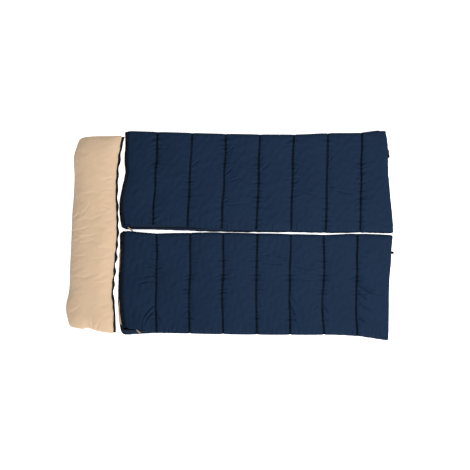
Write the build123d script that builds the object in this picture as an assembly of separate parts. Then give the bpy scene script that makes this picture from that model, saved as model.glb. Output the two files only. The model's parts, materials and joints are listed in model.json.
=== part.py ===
from build123d import *
import math
import os

# A double sleeping bag laid out flat: two single rectangular bags side by side
# and one full-width pillow at their heads. Millimetres, +Z up, floor at z = 0,
# heads towards -X, the left bag on the +Y side. Each bag is a quilt folded
# lengthwise: the fold is its +Y side, and the zip runs along its -Y side and
# round across its foot.

# ---- Bags ----
bag_length = 1940.0
bag_width = 718.0
bag_gap = 12.0            # between the two bags
bag_stagger = 8.0         # the left bag lies this much nearer the foot
quilt_loft = 37.0         # shell, filling and lining together
pocket_height = 10.0      # the space between a bag's two quilts
shell_thickness = 1.5
lining_thickness = 1.2
quilt_foot_radius = 30.0
quilt_edge_radius = 12.0

# ---- Head hems ----
hem_width = 35.0
hem_edge_thickness = 16.0
hem_stagger = 10.0        # the bottom quilt reaches this much past the top one

# ---- Bag zips ----
chain_inset = 34.0        # from the bottom quilt's edge to the zip's centre line
chain_thickness = 3.0
tooth_width = 2.6         # one half of the chain
chain_gap = 1.6           # between the two halves
tape_thickness = 0.8
lower_tape_width = 10.6
tape_seam = 2.0           # how far a tape is sewn in
quilt_to_chain = 12.0     # from the centre line to the top quilt's edge
side_zip_start = 30.0     # from the head to the first lower tooth
foot_zip_stop = 116.0     # from the fold to the foot slider's place
corner_clearance = 45.0   # the upper teeth stop this far short of the foot corner
slider_to_teeth = 16.0    # from a parked slider's middle to the upper teeth
stop_length = 4.0

# ---- Sliders and pulls ----
plate_length = 12.0
plate_width = 9.5
plate_thickness = 1.2
flange_thickness = 0.8
channel_clearance = 0.3   # between the chain and the slider's plates
tape_slot = 1.8
post_length = 5.0
post_thickness = 1.0
bail_radius = 0.9
bail_length = 6.0
bail_post = 1.0
eye_radius = 2.2
eye_clearance = 0.25
eye_width = 3.4
pull_width = 11.0
pull_thickness = 1.8
pull_neck = 4.5           # from the pin to the wide part of the pull
pull_corner_radius = 3.3
side_pull_length = 46.0
foot_pull_length = 54.0

# ---- Places and lie of each bag's pulls ----
left_side_slider_place = 51.0     # from the head
right_side_slider_place = 126.0
left_side_pull_yaw = -36.0        # degrees from +X
right_side_pull_yaw = -42.0
left_foot_pull_yaw = -90.0
right_foot_pull_yaw = 0.0

# ---- Pillow ----
pillow_length = 1390.0
pillow_depth = 322.0
pillow_height = 110.0
pillow_corner_radius = 52.0
pillow_edge_radius = 46.0
pillow_cover_thickness = 1.2
pillow_turn = -1.8        # degrees about Z
pillow_tape_width = 10.0
pillow_zip_margin = 45.0  # from the pillow's ends to its teeth
pillow_slider_place = 60.0
pillow_pull_length = 40.0
head_gap = 16.0           # from the pillow's teeth to the right bag's head

# ---- Zip halves inside the heads, which take the pillow ----
head_tape_width = 12.0
head_tape_margin = 60.0   # clear of the fold and of the side zip

# ---- Worked out from the sizes above ----
half_gap = chain_gap / 2
tooth_edge = half_gap + tooth_width
upper_tape_width = quilt_to_chain + tape_seam - tooth_edge
bag_height = 2 * quilt_loft + pocket_height
mid_height = bag_height / 2
pull_overhang = foot_pull_length - chain_inset
turn = math.radians(-pillow_turn)
pillow_zip_line = pillow_depth / 2 + pillow_tape_width + tooth_edge
pillow_zip_reach = pillow_zip_line + plate_width / 2
pillow_reach = (
    (pillow_depth / 2 - pillow_corner_radius) * math.cos(turn)
    + (pillow_length / 2 - pillow_corner_radius) * math.sin(turn)
    + pillow_corner_radius
)
pillow_side = head_gap + pillow_zip_reach + pillow_reach
right_head = (pillow_side - bag_length - pull_overhang) / 2
left_head = right_head + bag_stagger
pillow_centre = right_head - head_gap - pillow_zip_reach
plate_gap = chain_thickness + 2 * channel_clearance
plate_top = plate_gap / 2 + plate_thickness
pin_height = plate_top + eye_radius + channel_clearance


def block(x0, x1, y0, y1, z0, z1):
    """A box between two corners."""
    size = (x1 - x0, y1 - y0, z1 - z0)
    return Pos((x0 + x1) / 2, (y0 + y1) / 2, (z0 + z1) / 2) * Box(*size)


def quilt_form(head, foot, edge, fold, low, high, inset):
    """A quilt's body with its foot corners and its outer rim rounded, shell side down."""
    form = block(head + inset, foot - inset, edge + inset, fold - inset, low, high)
    uprights = form.edges().filter_by(Axis.Z).sort_by(Axis.X)[-2:]
    form = fillet(uprights, quilt_foot_radius - inset)
    rim = form.faces().sort_by(Axis.Z)[0].edges().sort_by(Axis.X)[1:]
    return fillet(rim, quilt_edge_radius - inset)


def quilt(head, foot, edge, fold):
    """Shell, filling and lining of one quilt, shell side down at z = 0."""
    lining_low = quilt_loft - lining_thickness
    wall = shell_thickness
    outside = quilt_form(head, foot, edge, fold, 0, quilt_loft, 0)
    inside = quilt_form(head, foot, edge, fold, wall, quilt_loft, wall)
    lining_zone = block(head, foot, edge, fold, lining_low, quilt_loft)
    return {
        "shell": outside - inside,
        "filling": inside - lining_zone,
        "lining": inside & lining_zone,
    }


def head_hem(head, edge, fold):
    """The tapered hem that closes a quilt's head end, shell side down at z = 0."""
    corners = [
        (head, quilt_loft - hem_edge_thickness),
        (head, quilt_loft),
        (head + hem_width, quilt_loft),
        (head + hem_width, 0),
        (head + hem_width / 2, 0),
    ]
    profile = Plane.XZ * make_face(Polyline(*corners, close=True))
    return Pos(0, fold, 0) * extrude(profile, amount=fold - edge)


def flip(shape):
    """The same shape turned over, from the bottom quilt's place to the top one's."""
    return mirror(shape, about=Plane.XY.offset(mid_height))


def chain_run(start, end, side):
    """Teeth of one half of a chain along local X, on the side -1 or +1."""
    near, far = sorted((side * half_gap, side * tooth_edge))
    return block(start, end, near, far, -chain_thickness / 2, chain_thickness / 2)


def tape_run(start, end, side, width, rise):
    """One tape along local X with its sewn-in leg, up or down by rise."""
    outer = side * (tooth_edge + width)
    near, far = sorted((side * tooth_edge, outer))
    tape = block(start, end, near, far, -tape_thickness / 2, tape_thickness / 2)
    seam = sorted((outer, outer - side * tape_seam))
    low, high = sorted((0, rise))
    return tape + block(start, end, seam[0], seam[1], low, high)


def slider(yaw, halves):
    """A slider on a chain along local X, with its bail turned by yaw degrees."""
    half_length = plate_length / 2
    half_width = plate_width / 2
    body = Box(post_length, post_thickness, plate_gap)
    for level in (-1, 1):
        plate_middle = level * (plate_gap + plate_thickness) / 2
        body += Pos(0, 0, plate_middle) * Box(plate_length, plate_width, plate_thickness)
        low, high = sorted((level * tape_slot / 2, level * plate_gap / 2))
        for side in halves:
            near, far = sorted((side * half_width, side * (half_width - flange_thickness)))
            body += block(-half_length, half_length, near, far, low, high)
    across = Rot(0, 0, yaw)
    for side in (-1, 1):
        place = side * (bail_length + bail_post) / 2
        height = pin_height + bail_radius - plate_top
        post = Box(2 * bail_radius, bail_post, height)
        body += across * Pos(0, place, plate_top + height / 2) * post
    pin = Rot(90, 0, 0) * Cylinder(bail_radius, bail_length)
    return body + across * Pos(0, 0, pin_height) * pin


def pull(yaw, length):
    """A pull on a slider's bail, lying flat, pointing yaw degrees from local X."""
    eye = Rot(90, 0, 0) * Cylinder(eye_radius, eye_width)
    half_eye = eye_width / 2
    half_width = pull_width / 2
    half_depth = pull_thickness / 2
    neck = block(0, pull_neck, -half_eye, half_eye, -half_depth, half_depth)
    strap = block(pull_neck, length, -half_width, half_width, -half_depth, half_depth)
    strap = fillet(strap.edges().filter_by(Axis.Z).sort_by(Axis.X)[-2:], pull_corner_radius)
    bore = Rot(90, 0, 0) * Cylinder(bail_radius + eye_clearance, 2 * pull_width)
    return Rot(0, 0, yaw) * Pos(0, 0, pin_height) * (eye + neck + strap - bore)


def along_x(x, y):
    """A zip's own frame, for one that runs along X with its lower half at -Y."""
    return Pos(x, y, mid_height)


def along_y(x, y):
    """A zip's own frame, for one that runs along the foot with its lower half at +X."""
    return Pos(x, y, mid_height) * Rot(0, 0, 90)


def bag(name, head, edge, side_place, side_yaw, foot_yaw):
    """Every piece of one bag, by node name."""
    foot = head + bag_length
    fold = edge + bag_width
    side_line = edge + chain_inset
    foot_line = foot - chain_inset
    top_head = head + hem_stagger
    top_edge = side_line + quilt_to_chain
    top_foot = foot_line - quilt_to_chain
    seam_rise = mid_height - quilt_loft
    pieces = {}

    bottom = quilt(head + hem_width, foot, edge, fold)
    top = quilt(top_head + hem_width, top_foot, top_edge, fold)
    for layer in ("shell", "filling", "lining"):
        pieces[f"{name}_bottom_{layer}"] = bottom[layer]
        pieces[f"{name}_top_{layer}"] = flip(top[layer])
    pieces[f"{name}_bottom_head_hem"] = head_hem(head, edge, fold)
    pieces[f"{name}_top_head_hem"] = flip(head_hem(top_head, top_edge, fold))
    wrap_head = top_head + hem_width
    pieces[f"{name}_fold_wrap"] = block(
        wrap_head, top_foot, fold - shell_thickness, fold, quilt_loft, quilt_loft + pocket_height
    )

    side_rest = head + side_place
    side_first = side_rest + slider_to_teeth
    side_last = foot_line - corner_clearance
    foot_rest = fold - foot_zip_stop
    foot_first = side_line + corner_clearance
    foot_last = foot_rest - slider_to_teeth
    lower_start = head + side_zip_start
    side_frame = along_x(0, side_line)
    foot_frame = along_y(foot_line, 0)
    foot_end = foot_rest + plate_length
    foot_begin = side_line + tooth_edge

    pieces[f"{name}_zip_lower_teeth"] = Compound(children=[
        side_frame * chain_run(lower_start, foot_line, -1),
        foot_frame * chain_run(foot_begin, foot_end, -1),
    ])
    pieces[f"{name}_zip_lower_tape"] = Compound(children=[
        side_frame * tape_run(lower_start, foot_line, -1, lower_tape_width, -seam_rise),
        foot_frame * tape_run(foot_begin, foot_end, -1, lower_tape_width, -seam_rise),
    ])
    pieces[f"{name}_zip_upper_teeth"] = Compound(children=[
        side_frame * chain_run(side_first, side_last, 1),
        foot_frame * chain_run(foot_first, foot_last, 1),
    ])
    pieces[f"{name}_zip_upper_tape"] = Compound(children=[
        side_frame * tape_run(side_first, side_last, 1, upper_tape_width, seam_rise),
        foot_frame * tape_run(foot_first, foot_last, 1, upper_tape_width, seam_rise),
    ])
    pieces[f"{name}_zip_stops"] = Compound(children=[
        side_frame * chain_run(lower_start - stop_length, lower_start, -1),
        foot_frame * chain_run(foot_end, foot_end + stop_length, -1),
    ])
    side_place_frame = along_x(side_rest, side_line)
    foot_place_frame = along_y(foot_line, foot_rest)
    pieces[f"{name}_side_slider"] = side_place_frame * slider(side_yaw, (-1, 1))
    pieces[f"{name}_side_pull"] = side_place_frame * pull(side_yaw, side_pull_length)
    pieces[f"{name}_foot_slider"] = foot_place_frame * slider(foot_yaw - 90, (-1, 1))
    pieces[f"{name}_foot_pull"] = foot_place_frame * pull(foot_yaw - 90, foot_pull_length)

    tape_low = side_line + head_tape_margin
    tape_high = fold - head_tape_margin
    tape_start = head + hem_width + tooth_width
    pieces[f"{name}_head_zip_teeth"] = block(
        head + hem_width, tape_start, tape_low, tape_high, quilt_loft, quilt_loft + chain_thickness
    )
    pieces[f"{name}_head_zip_tape"] = block(
        tape_start, tape_start + head_tape_width, tape_low, tape_high,
        quilt_loft, quilt_loft + tape_thickness
    )
    return pieces


def pillow_form(inset):
    """The pillow's cushion, drawn in by inset, standing on z = 0."""
    form = block(
        -pillow_depth / 2 + inset, pillow_depth / 2 - inset,
        -pillow_length / 2 + inset, pillow_length / 2 - inset,
        inset, pillow_height - inset,
    )
    form = fillet(form.edges().filter_by(Axis.Z), pillow_corner_radius - inset)
    levels = form.faces().sort_by(Axis.Z)
    return fillet(levels[0].edges() + levels[-1].edges(), pillow_edge_radius - inset)


def pillow():
    """Every piece of the pillow, by node name, turned into its place."""
    outside = pillow_form(0)
    inside = pillow_form(pillow_cover_thickness)
    reach = pillow_length
    middle = pillow_height / 2
    upper_zone = block(-reach, reach, -reach, reach, middle, pillow_height + 1)
    wall = outside - inside
    zip_frame = Pos(pillow_zip_line, 0, middle) * Rot(0, 0, 90)
    first = -pillow_length / 2 + pillow_zip_margin
    last = pillow_length / 2 - pillow_zip_margin
    slider_frame = zip_frame * Pos(-pillow_length / 2 + pillow_slider_place, 0, 0)
    teeth = zip_frame * chain_run(first, last, 1)
    tape = block(
        pillow_depth / 2, pillow_depth / 2 + pillow_tape_width, first, last,
        middle - tape_thickness / 2, middle + tape_thickness / 2,
    )
    stops = Compound(children=[
        zip_frame * chain_run(first - stop_length, first, 1),
        zip_frame * chain_run(last, last + stop_length, 1),
    ])
    pieces = {
        "pillow_front": wall & upper_zone,
        "pillow_back": wall - upper_zone,
        "pillow_filling": inside,
        "pillow_zip_tape": tape,
        "pillow_zip_teeth": teeth,
        "pillow_zip_stops": stops,
        "pillow_slider": slider_frame * slider(0, (1,)),
        "pillow_pull": slider_frame * pull(0, pillow_pull_length),
    }
    placed = Pos(pillow_centre, 0, 0) * Rot(0, 0, pillow_turn)
    return {node: placed * shape for node, shape in pieces.items()}


left_edge = bag_gap / 2
right_edge = -bag_gap / 2 - bag_width
nodes = {}
nodes.update(bag(
    "left", left_head, left_edge, left_side_slider_place, left_side_pull_yaw, left_foot_pull_yaw
))
nodes.update(bag(
    "right", right_head, right_edge, right_side_slider_place, right_side_pull_yaw, right_foot_pull_yaw
))
nodes.update(pillow())

os.makedirs("parts", exist_ok=True)
for node, shape in nodes.items():
    export_step(shape, f"parts/{node}.step")
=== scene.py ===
import json
import logging
import math
from dataclasses import dataclass
from enum import Enum
from typing import Callable, ClassVar, Optional, Sequence, Union

import bpy
import numpy as np
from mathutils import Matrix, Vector


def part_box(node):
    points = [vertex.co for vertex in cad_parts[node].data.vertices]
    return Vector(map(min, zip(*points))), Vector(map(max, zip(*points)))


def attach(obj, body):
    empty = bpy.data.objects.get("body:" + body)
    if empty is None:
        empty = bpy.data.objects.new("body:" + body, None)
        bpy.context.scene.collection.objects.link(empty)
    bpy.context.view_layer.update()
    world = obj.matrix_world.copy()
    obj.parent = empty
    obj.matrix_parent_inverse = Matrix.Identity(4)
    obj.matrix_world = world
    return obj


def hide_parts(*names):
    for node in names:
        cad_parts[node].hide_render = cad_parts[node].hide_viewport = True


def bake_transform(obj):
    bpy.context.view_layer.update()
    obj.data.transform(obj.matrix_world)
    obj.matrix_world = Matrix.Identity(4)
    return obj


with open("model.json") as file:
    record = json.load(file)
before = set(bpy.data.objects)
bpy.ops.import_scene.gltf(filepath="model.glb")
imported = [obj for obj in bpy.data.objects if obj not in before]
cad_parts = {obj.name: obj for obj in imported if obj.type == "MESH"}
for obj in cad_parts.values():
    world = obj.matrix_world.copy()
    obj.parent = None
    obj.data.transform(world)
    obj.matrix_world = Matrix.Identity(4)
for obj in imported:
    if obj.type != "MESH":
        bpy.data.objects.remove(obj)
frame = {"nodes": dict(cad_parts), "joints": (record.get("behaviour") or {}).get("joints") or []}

log = logging.getLogger("sleeping_bag")
MM = 0.001
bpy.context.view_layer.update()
GATHER_HEIGHT = 8.0 * MM        # the small gathers beside a quilt's seams
SETTLED_SHARE = 0.45            # how far the pillow's panels follow the cloth simulation
PILLOW_CREASE = 0.5             # a pillow crease's depth against its listed value
PILLOW_CREASE_SPREAD = 8.0      # its half width in millimetres
Array = np.ndarray


# ---------------------------------------------------------------------------
# Shader maths
# ---------------------------------------------------------------------------

Number = Union[float, int, "Value"]


class Value:
    """One shader socket that takes part in Python arithmetic."""

    def __init__(self, paint: "Paint", socket: bpy.types.NodeSocket) -> None:
        """Wraps a socket.

        Args:
            paint: The material under construction.
            socket: The output socket that carries the value.
        """
        self.paint = paint
        self.socket = socket

    def _math(self, operation: str, *values: Number) -> "Value":
        """A Math node on these values."""
        sockets = dict(enumerate(values))
        return self.paint.node("ShaderNodeMath", {"operation": operation}, sockets)

    def __add__(self, other: Number) -> "Value":
        """The sum."""
        return self._math("ADD", self, other)

    __radd__ = __add__

    def __sub__(self, other: Number) -> "Value":
        """The difference."""
        return self._math("SUBTRACT", self, other)

    def __rsub__(self, other: Number) -> "Value":
        """The difference, reflected."""
        return self._math("SUBTRACT", other, self)

    def __mul__(self, other: Number) -> "Value":
        """The product."""
        return self._math("MULTIPLY", self, other)

    __rmul__ = __mul__

    def __truediv__(self, other: Number) -> "Value":
        """The quotient."""
        return self._math("DIVIDE", self, other)

    def __lt__(self, other: Number) -> "Value":
        """1 where this is under the other."""
        return self._math("LESS_THAN", self, other)

    def __gt__(self, other: Number) -> "Value":
        """1 where this is over the other."""
        return self._math("GREATER_THAN", self, other)

    def __abs__(self) -> "Value":
        """The size without the sign."""
        return self._math("ABSOLUTE", self)

    def sine(self) -> "Value":
        """The sine of an angle in radians."""
        return self._math("SINE", self)

    def clamp(self) -> "Value":
        """Held between 0 and 1."""
        return self._math("MINIMUM", self._math("MAXIMUM", self, 0.0), 1.0)


class Paint:
    """Builds one procedural material."""

    def __init__(self, name: str) -> None:
        """Starts a material with an empty Principled surface.

        Args:
            name: The material's name.
        """
        self.material = bpy.data.materials.new(name)
        self.material.use_nodes = True
        self.tree = self.material.node_tree
        self.surface = self.tree.nodes["Principled BSDF"]

    def node(self, kind: str, settings: dict, sockets: dict, output: Union[int, str] = 0) -> Value:
        """Adds any node.

        Args:
            kind: The node's type name.
            settings: Properties that are set before its sockets.
            sockets: Input name or index to a value, a colour or a link.
            output: Which output to return.

        Returns:
            The wrapped output socket.
        """
        made = self.tree.nodes.new(kind)
        for name, value in settings.items():
            setattr(made, name, value)
        for name, value in sockets.items():
            self._feed(made.inputs[name], value)
        return Value(self, made.outputs[output])

    def _feed(self, socket: bpy.types.NodeSocket, value: object) -> None:
        """Links or sets one input."""
        if isinstance(value, Value):
            self.tree.links.new(value.socket, socket)
        elif isinstance(value, tuple) and socket.type == "RGBA":
            socket.default_value = (*value, 1.0) if len(value) == 3 else value
        else:
            socket.default_value = value

    def place(self) -> Value:
        """Coordinates in metres, fixed to the piece."""
        return self.node("ShaderNodeTexCoord", {}, {}, "Object")

    def quilt_map(self) -> tuple[Value, Value]:
        """Distance from the nearest seam and distance along it, in metres."""
        both = self.node("ShaderNodeUVMap", {"uv_map": "quilt"}, {})
        return self.part(both, 0), self.part(both, 1)

    def part(self, vector: Value, index: int) -> Value:
        """One component of a vector."""
        return self.node("ShaderNodeSeparateXYZ", {}, {0: vector}, index)

    def noise(self, scale: float, detail: float = 2.0, vector: Optional[Value] = None,
              distortion: float = 0.0) -> Value:
        """Smooth noise from 0 to 1.

        Args:
            scale: Waves in a metre.
            detail: How many finer layers.
            vector: Coordinates, or the piece's own.
            distortion: How far the pattern is stirred.

        Returns:
            The noise value.
        """
        where = vector or self.place()
        return self.node(
            "ShaderNodeTexNoise", {"noise_dimensions": "3D"},
            {"Vector": where, "Scale": scale, "Detail": detail, "Distortion": distortion},
        )

    def stretch(self, scale: tuple, turn: float = 0.0) -> Value:
        """The piece's coordinates scaled along each axis and turned about Z."""
        return self.node(
            "ShaderNodeMapping", {},
            {"Vector": self.place(), "Scale": scale, "Rotation": (0, 0, turn)},
        )

    def mix(self, factor: Number, first: object, second: object) -> Value:
        """A colour between two colours."""
        return self.node(
            "ShaderNodeMix", {"data_type": "RGBA"}, {0: factor, 6: first, 7: second}, 2
        )

    def bump(self, height: Value, strength: float, distance: float,
             under: Optional[Value] = None) -> Value:
        """A Bump node's normal.

        Args:
            height: The height pattern.
            strength: From 0 to 1.
            distance: The pattern's depth in metres.
            under: A normal that this one is laid on.

        Returns:
            The normal.
        """
        sockets = {"Height": height, "Strength": strength, "Distance": distance}
        if under is not None:
            sockets["Normal"] = under
        return self.node("ShaderNodeBump", {}, sockets)

    def finish(self, **sockets: object) -> bpy.types.Material:
        """Feeds the surface's sockets, by name with underscores, and returns the material."""
        for name, value in sockets.items():
            self._feed(self.surface.inputs[name.replace("_", " ")], value)
        return self.material


def srgb(red: int, green: int, blue: int) -> tuple:
    """A display colour of 0 to 255 as a linear one."""
    def linear(level: int) -> float:
        """One channel."""
        share = level / 255.0
        return share / 12.92 if share <= 0.04045 else ((share + 0.055) / 1.055) ** 2.4
    return tuple(linear(level) for level in (red, green, blue))


# ---------------------------------------------------------------------------
# Finishes
# ---------------------------------------------------------------------------

@dataclass(frozen=True)
class WovenCloth:
    """A plain-woven cloth: threads over and under, with soft creases and uneven dye; given a seam
    colour, it also has seams with thread and painted shade beside them.
    """

    name: str
    light: tuple
    dark: tuple
    thread: float = 0.9 * MM
    roughness: float = 0.72
    sheen: float = 0.05
    sheen_tint: tuple = (0.4, 0.6, 1.0)
    gloss: float = 0.05
    crease: float = 0.9
    # The colour of the painted shade beside each seam, standing in for the seam valleys' shade; None
    # leaves the seams out.
    seam_thread_and_shade: Optional[tuple] = None

    def make(self) -> bpy.types.Material:
        """Builds the material."""
        paint = Paint(self.name)
        place = paint.place()
        across, along = paint.part(place, 0), paint.part(place, 1)
        pitch = 2 * math.pi / self.thread
        weave = abs((across * pitch).sine()) * 0.5 + abs((along * pitch).sine()) * 0.5
        dye = paint.noise(5.0, 3.0)
        slub = paint.noise(60.0, 2.0, paint.stretch((1.0, 9.0, 1.0)))
        shade = (dye * 0.7 + slub * 0.3).clamp()
        colour = paint.mix(weave * 0.25, paint.mix(shade, self.dark, self.light), self.dark)
        broad = paint.noise(14.0, 2.0, paint.stretch((0.22, 1.0, 1.0), 0.04), 0.3)
        relief = paint.bump(broad, self.crease * 0.4, 7.0 * MM)
        if self.seam_thread_and_shade is not None:
            away, run = paint.quilt_map()
            # Seam thread, plus painted shade in each seam's valley.
            colour = self._paint_seam_thread_and_shade(paint, away, run, colour)
            relief = paint.bump(self._puckers(paint, away, run), self.crease, 9.0 * MM, relief)
        relief = paint.bump(weave, 0.2, 0.12 * MM, relief)
        rough = self.roughness + (dye - 0.5) * 0.15
        return paint.finish(
            Base_Color=colour, Roughness=rough, Normal=relief,
            Sheen_Weight=self.sheen, Sheen_Roughness=0.4, Sheen_Tint=self.sheen_tint,
            Specular_IOR_Level=self.gloss,
        )

    def _puckers(self, paint: Paint, away: Value, run: Value) -> Value:
        """Short creases that run out from each seam and fade, more in some places than others."""
        place = paint.node("ShaderNodeCombineXYZ", {}, {0: away * 9.0, 1: run * 52.0, 2: 0.0})
        creases = paint.noise(1.0, 2.0, place, 0.3)
        fade = (1.0 - abs(away) / (75.0 * MM)).clamp()
        patch = ((paint.noise(4.5, 1.0) - 0.35) * 3.0).clamp()
        return creases * (fade * fade) * (0.25 + patch * 0.75)

    def _paint_seam_thread_and_shade(self, paint: Paint, away: Value, run: Value, under: Value) -> Value:
        """The seam's thread in short dashes, and painted shade: a dark band beside it where its
        valley is shaded.
        """
        # Painted shade: this band's uneven width and near-black colour stand in for the shade in the
        # seam's valley.
        reach = paint.noise(13.0, 2.0) * (13.0 * MM) + 3.5 * MM
        fold = ((1.0 - abs(away) / reach) * 1.5).clamp()
        shaded = paint.mix(fold * 0.96, under, self.seam_thread_and_shade)
        dash = ((run * (2 * math.pi / (4.0 * MM))).sine() > -0.45)
        thread = (abs(away) < 0.55 * MM) * dash
        return paint.mix(thread, shaded, self.dark)


@dataclass(frozen=True)
class BrushedCotton:
    """A matt brushed cotton with a short nap."""

    name: str
    light: tuple
    dark: tuple
    # The thread colour of its seams; no shade is painted here.
    seam_thread_and_shade: Optional[tuple] = None

    def make(self) -> bpy.types.Material:
        """Builds the material."""
        paint = Paint(self.name)
        nap = paint.noise(900.0, 2.0)
        cloud = paint.noise(7.0, 3.0)
        twill_place = paint.part(paint.stretch((1.0, 1.0, 1.0), 0.8), 0)
        twill = (twill_place * (2 * math.pi / (1.4 * MM))).sine() * 0.5 + 0.5
        shade = (cloud * 0.75 + nap * 0.25).clamp()
        colour = paint.mix(shade, self.dark, self.light)
        if self.seam_thread_and_shade is not None:
            away, run = paint.quilt_map()
            dash = ((run * (2 * math.pi / (4.0 * MM))).sine() > -0.45)
            colour = paint.mix((abs(away) < 0.55 * MM) * dash, colour, self.seam_thread_and_shade)
        folds = paint.noise(22.0, 3.0, paint.stretch((0.5, 1.0, 1.0), 0.5), 0.8)
        relief = paint.bump(folds, 0.16, 4.0 * MM)
        relief = paint.bump(twill * 0.5 + nap * 0.5, 0.3, 0.25 * MM, relief)
        rough = 0.86 + (nap - 0.5) * 0.1
        return paint.finish(
            Base_Color=colour, Roughness=rough, Normal=relief,
            Sheen_Weight=0.35, Sheen_Roughness=0.6, Sheen_Tint=(1.0, 0.93, 0.85),
            Specular_IOR_Level=0.25,
        )


@dataclass(frozen=True)
class Webbing:
    """A ribbed woven tape or webbing."""

    name: str
    light: tuple
    dark: tuple
    rib: float = 1.6 * MM

    def make(self) -> bpy.types.Material:
        """Builds the material."""
        paint = Paint(self.name)
        place = paint.stretch((1.0, 1.0, 1.0))
        ribs = (paint.part(place, 0) * (2 * math.pi / self.rib)).sine() * 0.5 + 0.5
        yarns = (paint.part(place, 1) * (4 * math.pi / self.rib)).sine() * 0.5 + 0.5
        fade = paint.noise(80.0, 3.0)
        colour = paint.mix((ribs * 0.5 + fade * 0.5).clamp(), self.dark, self.light)
        relief = paint.bump(ribs * 0.6 + yarns * 0.4, 0.5, 0.3 * MM)
        return paint.finish(
            Base_Color=colour, Roughness=0.8 + (fade - 0.5) * 0.15, Normal=relief,
            Sheen_Weight=0.04, Specular_IOR_Level=0.1,
        )


@dataclass(frozen=True)
class Enamel:
    """Enamelled die-cast metal or moulded nylon, worn a little."""

    name: str
    light: tuple
    dark: tuple
    metal: float = 0.0
    roughness: float = 0.42
    gloss: float = 0.5

    def make(self) -> bpy.types.Material:
        """Builds the material."""
        paint = Paint(self.name)
        speckle = paint.noise(700.0, 3.0)
        scuff = paint.noise(160.0, 4.0, distortion=1.0)
        worn = ((scuff - 0.52) * 9.0).clamp()
        colour = paint.mix(worn * 0.7, self.dark, self.light)
        relief = paint.bump(speckle, 0.2, 0.05 * MM)
        return paint.finish(
            Base_Color=colour, Roughness=self.roughness + worn * 0.2, Normal=relief,
            Metallic=self.metal, Specular_IOR_Level=self.gloss,
        )


@dataclass(frozen=True)
class Batting:
    """Loose white hollow fibre."""

    name: str

    def make(self) -> bpy.types.Material:
        """Builds the material."""
        paint = Paint(self.name)
        tangle = paint.noise(260.0, 5.0, distortion=2.0)
        clumps = paint.noise(35.0, 3.0)
        shade = (tangle * 0.6 + clumps * 0.4).clamp()
        colour = paint.mix(shade, srgb(205, 205, 200), srgb(246, 246, 242))
        relief = paint.bump(shade, 0.6, 3.0 * MM)
        return paint.finish(
            Base_Color=colour, Roughness=0.92 + (tangle - 0.5) * 0.08, Normal=relief,
            Sheen_Weight=0.5,
        )


class Finish(Enum):
    """The record's material slots and what each is made of."""

    # The shell's near-black seam colour is painted shade for its seam valleys; the lining's seam
    # colour is its thread.
    SHELL = ("shell_fabric", WovenCloth(
        "navy_shell", srgb(24, 41, 63), srgb(16, 30, 49), seam_thread_and_shade=srgb(3, 8, 14)))
    HEM = ("hem_fabric", WovenCloth(
        "navy_hem", srgb(13, 21, 34), srgb(7, 12, 20), thread=1.2 * MM, crease=0.2))
    LINING = ("lining_fabric", BrushedCotton(
        "tan_lining", srgb(212, 187, 157), srgb(188, 162, 132), seam_thread_and_shade=srgb(160, 136, 108)))
    FIBRE = ("hollow_fibre", Batting("white_fibre"))
    PILLOW = ("pillow_fabric", BrushedCotton(
        "tan_pillow", srgb(203, 176, 147), srgb(187, 160, 131)))
    TAPE = ("zip_tape", Webbing("woven_tape", srgb(15, 19, 30), srgb(6, 8, 14)))
    NAVY_TAPE = ("zip_tape", Webbing("navy_tape", srgb(24, 38, 58), srgb(14, 25, 41)))
    COIL = ("zip_coil", Enamel(
        "moulded_teeth", srgb(15, 19, 28), srgb(5, 7, 12), roughness=0.8, gloss=0.12))
    SLIDER = ("slider_metal", Enamel(
        "enamelled_slider", srgb(120, 122, 126), srgb(26, 28, 33), metal=0.6))
    TAN_PULL = ("tan_webbing", Webbing("tan_ribbon", srgb(160, 142, 120), srgb(118, 101, 82)))
    BLACK_PULL = ("black_webbing", Webbing("black_ribbon", srgb(20, 20, 23), srgb(6, 6, 8)))

    def __init__(self, slot: str, recipe: object) -> None:
        """Keeps the slot's name and its recipe."""
        self.slot = slot
        self.recipe = recipe

    @property
    def material(self) -> bpy.types.Material:
        """The finish's material, made once."""
        found = bpy.data.materials.get(self.recipe.name)
        return found or self.recipe.make()


# ---------------------------------------------------------------------------
# Geometry
# ---------------------------------------------------------------------------

def ease(x: Array) -> Array:
    """A smooth step from 0 to 1."""
    held = np.clip(x, 0.0, 1.0)
    return held * held * (3.0 - 2.0 * held)


def along_edge(values: Sequence[float], t: Array) -> Array:
    """A smooth curve through evenly spaced values.

    Args:
        values: What the curve passes through.
        t: Places on it, from 0 to 1.

    Returns:
        The curve's values.
    """
    known = np.asarray(values, float)
    if len(known) == 1:
        return np.full_like(t, known[0], dtype=float)
    padded = np.concatenate([[2 * known[0] - known[1]], known, [2 * known[-1] - known[-2]]])
    u = np.clip(t, 0.0, 1.0) * (len(known) - 1)
    i = np.minimum(u.astype(int), len(known) - 2)
    f = u - i
    a, b, c, d = (padded[i + k] for k in range(4))
    return b + 0.5 * f * (c - a + f * (2 * a - 5 * b + 4 * c - d + f * (3 * (b - c) + d - a)))


def waves(seed: int, x: Array, y: Array, length: float, count: int = 14) -> Array:
    """Smooth seeded noise of about -1 to 1.

    Args:
        seed: Picks the pattern.
        x: Places along X in metres.
        y: Places along Y in metres.
        length: The typical wavelength in metres.
        count: How many waves are summed.

    Returns:
        The noise at each place.
    """
    draw = np.random.default_rng(seed)
    total = np.zeros(np.broadcast(x, y).shape)
    for _ in range(count):
        angle = draw.uniform(0, 2 * math.pi)
        pitch = length * draw.uniform(0.6, 1.7)
        phase = draw.uniform(0, 2 * math.pi)
        total += np.sin(2 * math.pi * (x * math.cos(angle) + y * math.sin(angle)) / pitch + phase)
    return total / math.sqrt(count)


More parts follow.
